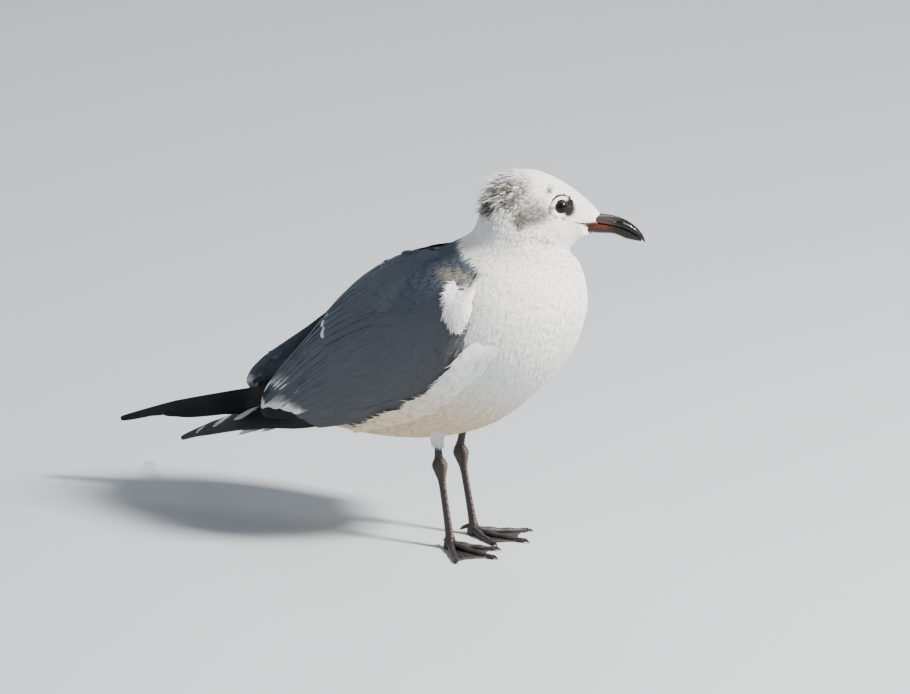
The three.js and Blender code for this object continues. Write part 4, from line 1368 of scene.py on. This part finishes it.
def ring_feathers(side, seed):
    """Tiny feathers round the eye: white in two crescents, above and below, which nearly meet behind it,
    black in the gap ahead, and a dark line outside the upper crescent."""
    rng = np.random.default_rng(seed)
    sign = SIGN[side]
    surface = (ring_surface(side), sign)
    n = 2100
    turn, radius = rng.uniform(-np.pi, np.pi, n), np.sqrt(rng.uniform(3.85**2, 7.5**2, n))
    back = np.where(turn > 0, 0.0, np.pi)
    outwards = np.where(turn > 0, -0.25, 0.25) * sign * np.sign(-turn) * -1
    path = march(surface, turn, radius, back + outwards + rng.normal(0, 0.15, n), rng.uniform(1.2, 1.9, n), 4)
    outer = soft_step(6.1, 6.5, path[1][:, 2])
    height = (0.12 + 0.35 * outer)[:, None] + rng.uniform(0.15, 0.45, n)[:, None] * np.linspace(0.1, 1, 4)
    seen = path[0][:, 2]
    ahead = soft_step(0.95, 0.6, seen) * soft_step(-1.2, -0.85, seen)
    behind = soft_step(2.95, 3.05, np.abs(seen)) * 0.25
    above = soft_step(0.2, 0.5, seen) * soft_step(2.9, 2.4, seen) * outer * 0.9
    below = soft_step(-0.9, -1.3, seen) * soft_step(-2.9, -2.4, seen) * outer * 0.25
    rear = soft_step(2.3, 2.8, np.abs(seen)) * outer * 0.35
    dark = np.maximum.reduce([ahead, behind, above, below, rear]) * rng.uniform(0.94, 1, n)
    tint = WHITE ** (1 - dark[:, None]) * DUSK ** dark[:, None]
    root = np.stack([0.1 + 0.02 * turn / TAU + 0.3 * (sign > 0), 0.17 + 0.003 * radius], -1)
    vanes = Vanes()
    vanes.add(surface, path, 0.5 + 0.25 * outer, height, wisp, SLIVER, np.full(n, 0.1), tint, root)
    return vanes


for side in ("left", "right"):
    add_eyeball(side)
    ring_round_eye(side, "lid", 4.45, lid_reach, 0.42, 0.34, (0, TAU), (0.008, 0.005, 0.005), LID_LOOK)
    ring_feathers(side, 81 + len(side)).make(f"ring_feathers_{side}", WHITE_VANES, "body_plumage")

# %% [markdown]
# ## The bill
# The upper bill is a horn sheath that hooks over the lower one at the tip, with a slit for the nostril on
# each side. Between the two runs the line of the mouth. Each half is a loft like the body's, with a
# flattened underside for the upper one. The nostril is pressed into the surface as a smooth dent.

# %% Both halves of the bill
# Along the head's own X, in millimetres: x, top, bottom, half width.
UPPER_BILL = np.array([
    (80, 211, 207.2, 6.2), (90, 210.7, 206.0, 5.4), (98, 209.6, 204.4, 4.4), (105, 207.2, 202.2, 3.7),
    (111, 203, 198.9, 2.8), (114.8, 198.6, 195.3, 1.9), (116.5, 195.0, 193.6, 0.8),
])
LOWER_BILL = np.array([
    (80, 207.2, 199.6, 5.7), (90, 206, 199.2, 4.9), (98, 204.4, 198.8, 3.9), (105, 202.2, 196, 3.1),
    (110, 199.5, 194.9, 2.4), (114.3, 196.4, 194.2, 1.2),
])
HORN = np.array([0.004, 0.003, 0.003])
HORN_RED = np.array([0.095, 0.020, 0.009])
HORN_GREY = np.array([0.085, 0.070, 0.062])


def bill_place(stations, powers, t, angle, out=0.0):
    """The bill before the head turns: half the width times the sine, and half the height times the
    cosine, whose positive and negative parts are raised to the two powers to flatten top or underside."""
    row = smooth_line(stations, t)
    cosine, sine = np.cos(angle), np.sin(angle)
    level = np.sign(cosine) * np.abs(cosine) ** np.where(cosine < 0, powers[1], powers[0])
    y = (row[..., 3] + out) * sine
    z = (row[..., 1] + row[..., 2]) / 2 + ((row[..., 1] - row[..., 2]) / 2 + out) * level
    return np.stack([row[..., 0], y, z], -1)


def nostril(place):
    """How deep the nostril's slit is pressed in: a long oval beside the culmen, 10 mm ahead of the
    feathers, inside a wider shallow groove."""
    x, z = place[..., 0] - 100.8, place[..., 2] - (207.1 - 0.18 * (place[..., 0] - 100.8))
    slit = np.exp(-((x / 2.1) ** 4) - (z / 0.42) ** 4)
    groove = np.exp(-((x / 5) ** 2) - (z / 1.0) ** 2)
    return 0.9 * slit + 0.25 * groove, slit


def upper_colours(place, slit):
    """Horn black with a grey base mottled by wear, a red-brown cutting edge towards the gape and a dark line
    along that edge where the two halves close. The nostril's slit is painted near black as shade."""
    x, low = place[..., 0], (place[..., 2] - np.interp(place[..., 0], UPPER_BILL[:, 0], UPPER_BILL[:, 2]))
    colour = np.broadcast_to(HORN, place.shape).copy()
    base = soft_step(104, 90, x)
    wear_and_highlight = 0.5 + 0.5 * np.sin(x * 5.1 + 3 * np.sin(place[..., 2] * 4.0)) * np.sin(place[..., 2] * 6.3 + x)
    colour += (HORN_GREY - colour) * (base * wear_and_highlight * 0.8)[..., None]
    edge = soft_step(1.5, 0.8, low) * soft_step(103, 93, x)
    colour += (HORN_RED - colour) * (edge * 0.75)[..., None]
    colour *= (1 - 0.9 * soft_step(0.55, 0.3, low))[..., None]
    # Painted shade: the nostril's slit is darkened to near black, the shade inside its dent.
    return colour * (1 - 0.92 * slit)[..., None]


def lower_colours(place):
    """Orange-red at the upper edge of its base, red-brown below, then black from its middle on, with a reddish
    lower edge near the tip, painted brighter as a red reflection."""
    x = place[..., 0]
    low = place[..., 2] - np.interp(x, LOWER_BILL[:, 0], LOWER_BILL[:, 2])
    colour = np.broadcast_to(HORN, place.shape).copy()
    fleck = 0.7 + 0.3 * np.sin(x * 3.7 + np.sin(place[..., 2] * 5.0) * 2)
    base = soft_step(101, 92, x) * fleck
    colour += (HORN_RED * 0.6 - colour) * (base * 0.85)[..., None]
    bright = soft_step(98, 90, x) * soft_step(3.4, 4.6, low) * fleck
    colour += (HORN_RED * 1.45 - colour) * (bright * 0.7)[..., None]
    # Painted reflection: the lower edge near the tip is brightened to red, where the glossy horn catches light.
    edge = soft_step(1.1, 0.2, low) * soft_step(97, 101, x)
    return colour + (HORN_RED * 1.3 - colour) * (edge * 0.7)[..., None]


BILL_LOOK, bill_tree, bill_shader = tinted_material("bill horn", Roughness=0.36, Specular_IOR_Level=0.2, Coat_Weight=0.3, Coat_Roughness=0.08)
bump(bill_tree, bill_shader, noise(bill_tree, 500, 5, (1, 1, 3)), 0.25, 0.0003)


def add_bill_half(name, stations, powers, colours, recess, node):
    rows, columns = 170, 96
    t, angle = np.meshgrid(np.linspace(0, 1, rows), np.linspace(0, TAU, columns, endpoint=False), indexing="ij")
    place = bill_place(stations, powers, t, angle)
    depth, slit = recess(place) if recess else (0 * t, 0 * t)
    depth = depth * np.abs(np.sin(angle)) ** 0.5
    wear = 0.05 * np.sin(t * 90 + 3 * np.cos(angle * 2)) * np.sin(angle * 5 + t * 30)
    points = twisted(bill_place(stations, powers, t, angle, wear - depth), 1.0)
    tint = colours(place, slit) if recess else colours(place)
    ends = [np.arange(columns)[::-1][None], (np.arange(columns) + (rows - 1) * columns)[None]]
    faces = [f[:, ::-1] for f in (grid_faces(rows, columns), *ends)]
    piece = add_mesh(name, points.reshape(-1, 3), faces, BILL_LOOK, tint.reshape(-1, 3))
    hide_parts(node)
    print(f"{name}: {triangles(piece)} triangles")


add_bill_half("upper_bill", UPPER_BILL, (0.9, 0.16), upper_colours, nostril, "bill_upper")
add_bill_half("lower_bill", LOWER_BILL, (0.2, 1.0), lower_colours, None, "bill_lower")


# %% The corner of the mouth
def add_gape(side):
    """Two red lips that run back from the bill under the lores: a strip along the mouth's line whose
    section is an ellipse, tapered to its end, and dark in its middle, where the lips meet."""
    sign = SIGN[side]
    share, phase = np.meshgrid(np.linspace(0, 1, 80), np.linspace(0, TAU, 24, endpoint=False), indexing="ij")
    x = 75.4 + 13 * share
    taper = 0.15 + 0.85 * soft_step(0, 0.5, share)
    t, angle = skin_at(sign, x[:, 0], mouth_line(x[:, 0]))
    depth = smooth_line(TABLE[:, 7:8], t)[..., 0]
    straight, row = body_straight(t, angle, -depth)
    aside = straight[:, 1:2] + sign * (0.35 + 0.55 * taper * np.sin(phase))
    points = twisted(np.stack([x, aside, mouth_line(x) + 0.72 * taper * np.cos(phase)], -1), 1.0)
    shut = soft_step(0.45, 0.15, np.abs(np.cos(phase)))
    tint = HORN_RED * (1.5 - 0.4 * np.cos(phase))[..., None] * (1 - 0.93 * shut)[..., None]
    faces = [grid_faces(80, 24), np.arange(24)[::-1][None], (np.arange(24) + 79 * 24)[None]]
    if side == "left":
        faces = [f[:, ::-1] for f in faces]
    piece = add_mesh(f"gape_{side}", points.reshape(-1, 3), faces, BILL_LOOK, tint.reshape(-1, 3))


for side in ("left", "right"):
    add_gape(side)

# %% [markdown]
# ## Legs and feet
# A gull's leg shows a short bare piece of the shin, the thick ankle, the slender shank with broad scales
# in front, and three webbed toes with a small hind toe above the ground. Limbs are lofts along a line of
# spots. Their scales are rings of slight swellings, and a cell pattern in the shader adds the small
# scales between them. The webs are thin, creased sheets between two toes, with a hollow front edge.

# %% The legs' sizes
# For each leg: the middle of the foot and of the ankle, the thigh's top, and the middle toe's heading in
# degrees towards the bird's left.
LEGS = {
    "right": dict(outwards=-1, hub=(1.8, -16.5), ankle=(-7.3, -15.5, 49.5), thigh=(-9.5, -15.5, 80), heading=-5),
    "left": dict(outwards=1, hub=(-6.2, 16.5), ankle=(-16, 16, 49.4), thigh=(-10, 15.5, 80), heading=7),
}
TOE_LENGTHS = {"inner": 27, "middle": 35, "outer": 32}
TOE_SPREAD = {"inner": -32, "middle": 0, "outer": 40, "hind": -160}
TOE_RADIUS = 2.1
LEG_BROWN = np.array([0.012, 0.006, 0.005])
# LEG_PALE paints highlight on the front of the shanks, where light catches the scales; the webs' rims also take a
# little of it.
LEG_PALE = np.array([0.14, 0.09, 0.075])
WEB_BROWN = np.array([0.018, 0.013, 0.014])


def limb_surface(spots):
    """A limb along a smooth line through spots x, y, z with half its size fore and aft and across:
    place(t, angle, out). The sizes lie at right angles to the straight way from end to end."""
    spots = np.asarray(spots, float)
    straight = spots[-1, :3] - spots[0, :3]
    straight /= np.linalg.norm(straight)
    lying = np.hypot(*straight[:2]) > 0.5
    aside = np.array([-straight[1], straight[0], 0]) if lying else np.array([0, 1.0, 0])
    aside /= np.linalg.norm(aside)
    fore = np.cross(aside, straight)

    def place(t, angle, out=0.0):
        row = smooth_line(spots, t)
        a = ((row[..., 3] + out) * np.cos(angle))[..., None] * fore
        return row[..., :3] + a + ((row[..., 4] + out) * np.sin(angle))[..., None] * aside

    return place


SCALES, scale_tree, scale_shader = tinted_material("leg skin", Roughness=0.42, Specular_IOR_Level=0.5)
cells = scale_tree.nodes.new("ShaderNodeTexVoronoi")
cells.feature = "DISTANCE_TO_EDGE"
cells.inputs["Scale"].default_value = 1100
scale_where = scale_tree.nodes.new("ShaderNodeTexCoord")
scale_tree.links.new(scale_where.outputs["Object"], cells.inputs["Vector"])
bump(scale_tree, scale_shader, math_node(scale_tree, "MINIMUM", cells.outputs["Distance"], 0.2), 0.8, 0.0004)


def add_limb(name, spots, rows, columns, scales, tint, floor=-9.0, look=None, pale=0.0):
    """One limb as a mesh. scales is (how many rings, how high): each ring swells the front half, as the
    square root of a sine's size. Nothing goes below the floor."""
    t, angle = np.meshgrid(np.linspace(0, 1, rows), np.linspace(0, TAU, columns, endpoint=False), indexing="ij")
    number, high = scales
    ring = np.sqrt(np.abs(np.sin(np.pi * t * number))) - 0.7
    front = 0.25 + 0.75 * soft_step(-0.2, 0.5, np.cos(angle))
    points = limb_surface(spots)(t, angle, high * ring * front)
    points[..., 2] = np.maximum(points[..., 2], floor)
    shade = 1 + 0.5 * ring * front
    ends = [np.arange(columns)[::-1][None], (np.arange(columns) + (rows - 1) * columns)[None]]
    faces = [grid_faces(rows, columns), *ends]
    volume_sign = np.sign((np.cross(points[1, 0] - points[0, 0], points[0, 1] - points[0, 0]) * (points[0, 0] - points[0].mean(0))).sum())
    if volume_sign > 0:
        faces = [f[:, ::-1] for f in faces]
    # Painted highlight: the front of each scale ring is paled, by the share pale, where light catches it.
    wear_and_highlight = soft_step(0.75, 1.0, np.cos(angle)) * soft_step(-0.2, 0.25, ring) * pale
    colours = tint * shade[..., None]
    colours = (colours + (LEG_PALE - colours) * wear_and_highlight[..., None]).reshape(-1, 3)
    piece = add_mesh(name, points.reshape(-1, 3), faces, look or SCALES, np.clip(colours, 0, 1))
    return piece


# %% Toes, webs and claws
def reach_from(hub, heading, reach):
    """A place on the floor at a reach from the foot's middle."""
    return np.array([hub[0] + np.cos(heading) * reach, hub[1] + np.sin(heading) * reach])


def toe_spots(hub, heading, length):
    """A toe rests on the floor, tapers, and swells at each of its knuckles."""
    share = np.linspace(0, 1, 7)
    size = TOE_RADIUS * (1.15 - 0.4 * share) * np.where(np.arange(7) % 2, 0.86, 1)
    height = size * 0.8 + 2.2 * (1 - share) ** 3
    x, y = reach_from(hub, heading, length * share)
    return np.stack([x, y, height, size, size], -1)


def add_web(name, hub, first, last):
    """A thin sheet between two toes, (heading, length) each: from the hub to a hollow front edge, which
    is a parabola. Creases fan out from the hub, and the edge is scalloped and a little raised."""
    (h0, l0), (h1, l1) = first, last
    rows, columns = 60, 90
    r, c = np.meshgrid(np.linspace(0.02, 1, rows), np.linspace(0, 2, columns * 2, endpoint=False), indexing="ij")
    w = np.where(c <= 1, c, 2 - c)
    start, end = reach_from(hub, h0, l0 - 0.6), reach_from(hub, h1, l1 - 0.6)
    hollow = reach_from(hub, (h0 + h1) / 2, min(l0, l1) * 0.77)
    edge = (1 - w)[..., None] ** 2 * start + 2 * (w * (1 - w))[..., None] * hollow + w[..., None] ** 2 * end
    scallop = 1 - 0.02 * np.abs(np.sin(w * 4 * np.pi)) * r**6
    flat = np.array(hub) + (edge - np.array(hub)) * (r * scallop)[..., None]
    crease = 0.16 * np.sin(w * TAU * 5 + 2 * np.sin(r * 5)) * r * np.sin(np.pi * w) ** 0.5
    arch = 0.45 * np.sin(np.pi * w) * r * (1 - 0.5 * r)
    top = 0.75 + crease + arch + 0.12 * r**8
    under = np.maximum(top - 0.5, 0.0)
    z = np.where(c <= 1, top, under)
    rim = soft_step(0.9, 1, r)
    tint = WEB_BROWN * (0.85 + 1.5 * crease + 0.3 * rim)[..., None] + LEG_PALE * (0.12 * rim)[..., None]
    points = np.concatenate([flat, z[..., None]], -1)
    ends = [np.arange(2 * columns)[::-1][None], (np.arange(2 * columns) + (rows - 1) * 2 * columns)[None]]
    faces = [grid_faces(rows, 2 * columns), *ends]
    if h1 > h0:
        faces = [f[:, ::-1] for f in faces]
    piece = add_mesh(name, points.reshape(-1, 3), faces, SCALES, np.clip(tint, 0, 1).reshape(-1, 3))
    return piece


CLAW_LOOK, _, _ = tinted_material("claw horn", Roughness=0.3)


def add_foot(side):
    leg = LEGS[side]
    hub = leg["hub"]
    turned = {toe: np.radians(leg["heading"] + spread * leg["outwards"]) for toe, spread in TOE_SPREAD.items()}
    made = []
    for toe, length in TOE_LENGTHS.items():
        made.append(add_limb(f"toe_{toe}_{side}", toe_spots(hub, turned[toe], length), 120, 28, (22, 0.16), WEB_BROWN * 1.15, 0.0))
        spots = []
        for share, height, size in ((0, 1.35, 1.3), (0.35, 1.7, 1.15), (0.7, 1.3, 0.75), (1, 0.45, 0.22)):
            x, y = reach_from(hub, turned[toe], length + 4.9 * share - 0.3)
            spots.append((x, y, height, size, size * 0.8))
        claw = add_limb(f"horn_{toe}_{side}", spots, 30, 20, (1, 0.0), np.array([0.018, 0.015, 0.014]), 0.0, CLAW_LOOK)
        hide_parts(f"claw_{toe}_{side}")
    pairs = (("inner", "middle"), ("middle", "outer"))
    for a, b in pairs:
        ends = ((turned[a], TOE_LENGTHS[a]), (turned[b], TOE_LENGTHS[b]))
        made.append(add_web(f"web_{a}_{side}", hub, *ends))
    hub_spots = [(*hub, 0.0, 3.6, 3.4), (*hub, 2.0, 3.9, 3.6), (*hub, 5.0, 3.5, 3.1), (*hub, 8.0, 2.9, 2.4)]
    made.append(add_limb(f"hub_{side}", hub_spots, 40, 40, (5, 0.2), LEG_BROWN, 0.0))
    hind = []
    for reach, height, size in ((0, 6, 1.5), (3, 5.4, 1.35), (6, 4.2, 1.1), (8, 2.9, 0.5)):
        hind.append((*reach_from(hub, turned["hind"], reach), height, size, size))
    made.append(add_limb(f"toe_hind_{side}", hind, 40, 20, (6, 0.12), LEG_BROWN))
    for piece in made:
        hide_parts(f"foot_{side}")


# %% Shanks and thighs
def between(start, end, share, fore, across):
    """A spot on the straight way between two places."""
    at = np.array(start) + (np.array(end) - np.array(start)) * share
    return (*at, fore, across)


SHANK_SIZES = ((0, 3, 2.5), (0.12, 2.6, 2), (0.4, 2.3, 1.8), (0.7, 2.5, 1.9), (0.82, 4, 2.9), (0.92, 5.3, 3.7), (1, 3.6, 2.8))
THIGH_SIZES = ((0, 3.3, 2.7), (0.15, 2.5, 2.1), (0.35, 2.4, 2.1), (0.6, 3.2, 2.9), (1, 8, 6))


def add_leg(side, seed):
    leg = LEGS[side]
    hub, ankle = leg["hub"], leg["ankle"]
    low, high = (*hub, 7.0), (ankle[0], ankle[1], ankle[2] + 4.4)
    shank = add_limb(f"scaled_shank_{side}", [between(low, high, *size) for size in SHANK_SIZES], 240, 48, (21, 0.24), LEG_BROWN, pale=0.7)
    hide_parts(f"shank_{side}")
    spots = [between((ankle[0], ankle[1], ankle[2] + 3.4), leg["thigh"], *size) for size in THIGH_SIZES]
    thigh = add_limb(f"bare_thigh_{side}", spots, 80, 40, (9, 0.14), LEG_BROWN)
    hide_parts(f"thigh_{side}")
    surface = (limb_surface(np.array(spots)[::-1]), 1.0)
    rng = np.random.default_rng(seed)
    n, reach = (300, 0.3) if side == "right" else (160, 0.1)
    t, angle = rng.uniform(0.0, reach, n), rng.uniform(0, TAU, n)
    frame_sign = surface_frame(surface[0], t[:1], angle[:1], 1.0)[3][0] @ (surface[0](t[:1], angle[:1])[0] - surface[0](t[:1], angle[:1] + np.pi)[0])
    surface = (surface[0], float(np.sign(frame_sign)))
    length = np.interp(t, (0.0, 0.3), (8, 6)) * rng.uniform(0.8, 1.2, n)
    path = march(surface, t, angle, rng.normal(0, 0.15, n), length, 5)
    height = np.linspace(0.1, 1, 5) * rng.uniform(0.5, 1.8, n)[:, None]
    tint = WHITE * rng.uniform(0.88, 1.0, n)[:, None]
    root = np.stack([0.5 + 0.05 * (angle / TAU) + (0.1 if side == "left" else 0), 0.7 + 0.02 * t], -1)
    vanes = Vanes()
    vanes.add(surface, path, length * 0.33, height, wisp, SLIVER, length * 0.05, tint, root)
    locks(vanes, surface, path, length, length * 0.5, height, tint, root, rng, LOCKS_HEAD)
    vanes.make(f"thigh_feathers_{side}", WHITE_VANES, "white_plumage")


for side, seed in (("left", 91), ("right", 92)):
    add_foot(side)
    add_leg(side, seed)

# %% [markdown]
# ## Camera, light and floor
# The camera stands ahead of the bird's right side and a little above it, far away with a long lens, so
# that lines hardly converge. One soft key light stands ahead of the breast and high up. It leaves the
# wing's side in shade, which a weak, cool fill opens up. The floor and the world are plain and pale.

# %% Camera, light and floor
def look_at(camera, target):
    camera.rotation_euler = (Vector(target) - camera.location).to_track_quat("-Z", "Y").to_euler()


VIEW_AZIMUTH, VIEW_ELEVATION = np.radians(38), np.radians(15)
FRAME_WIDTH = 0.546  # metres across the picture at the bird
DISTANCE = 10.0
TARGET = np.array([-23.1, 20.4, 113.0]) * MM + OFFSET * MM
toward = np.array([np.sin(VIEW_AZIMUTH) * np.cos(VIEW_ELEVATION), -np.cos(VIEW_AZIMUTH) * np.cos(VIEW_ELEVATION), np.sin(VIEW_ELEVATION)])
camera = bpy.data.objects.new("camera", bpy.data.cameras.new("camera"))
bpy.context.scene.collection.objects.link(camera)
camera.location = TARGET + toward * DISTANCE
camera.data.lens = camera.data.sensor_width * DISTANCE / FRAME_WIDTH
camera.data.clip_end = 60
look_at(camera, TARGET)
bpy.context.scene.camera = camera


def area_light(name, place, size, power, colour):
    light = bpy.data.objects.new(name, bpy.data.lights.new(name, "AREA"))
    light.data.size = size
    light.data.energy = power
    light.data.color = colour
    light.location = np.array(place) * 1.0
    look_at(light, (0, 0, 0.12))
    bpy.context.scene.collection.objects.link(light)


area_light("key", (2.0, 0.35, 1.75), 0.4, 270, (1.0, 0.96, 0.9))
area_light("fill", (-0.9, -2.2, 0.8), 1.6, 13, (0.85, 0.92, 1.0))
area_light("rim", (-0.8, 1.4, 1.6), 1.0, 10, (0.9, 0.95, 1.0))
world = bpy.data.worlds.new("studio")
world.use_nodes = True
world.node_tree.nodes["Background"].inputs["Color"].default_value = (0.80, 0.85, 0.92, 1)
world.node_tree.nodes["Background"].inputs["Strength"].default_value = 0.42
bpy.context.scene.world = world

floor_material, floor_tree, floor_shader = new_material("studio floor", Roughness=0.9)
socket_value(floor_shader, "Base Color", (0.44, 0.47, 0.50, 1))
floor_mesh = bpy.data.meshes.new("floor")
floor_mesh.from_pydata([(-6, -6, 0), (6, -6, 0), (6, 6, 0), (-6, 6, 0)], [], [(0, 1, 2, 3)])
floor_mesh.materials.append(floor_material)
floor = bpy.data.objects.new("floor", floor_mesh)
bpy.context.scene.collection.objects.link(floor)
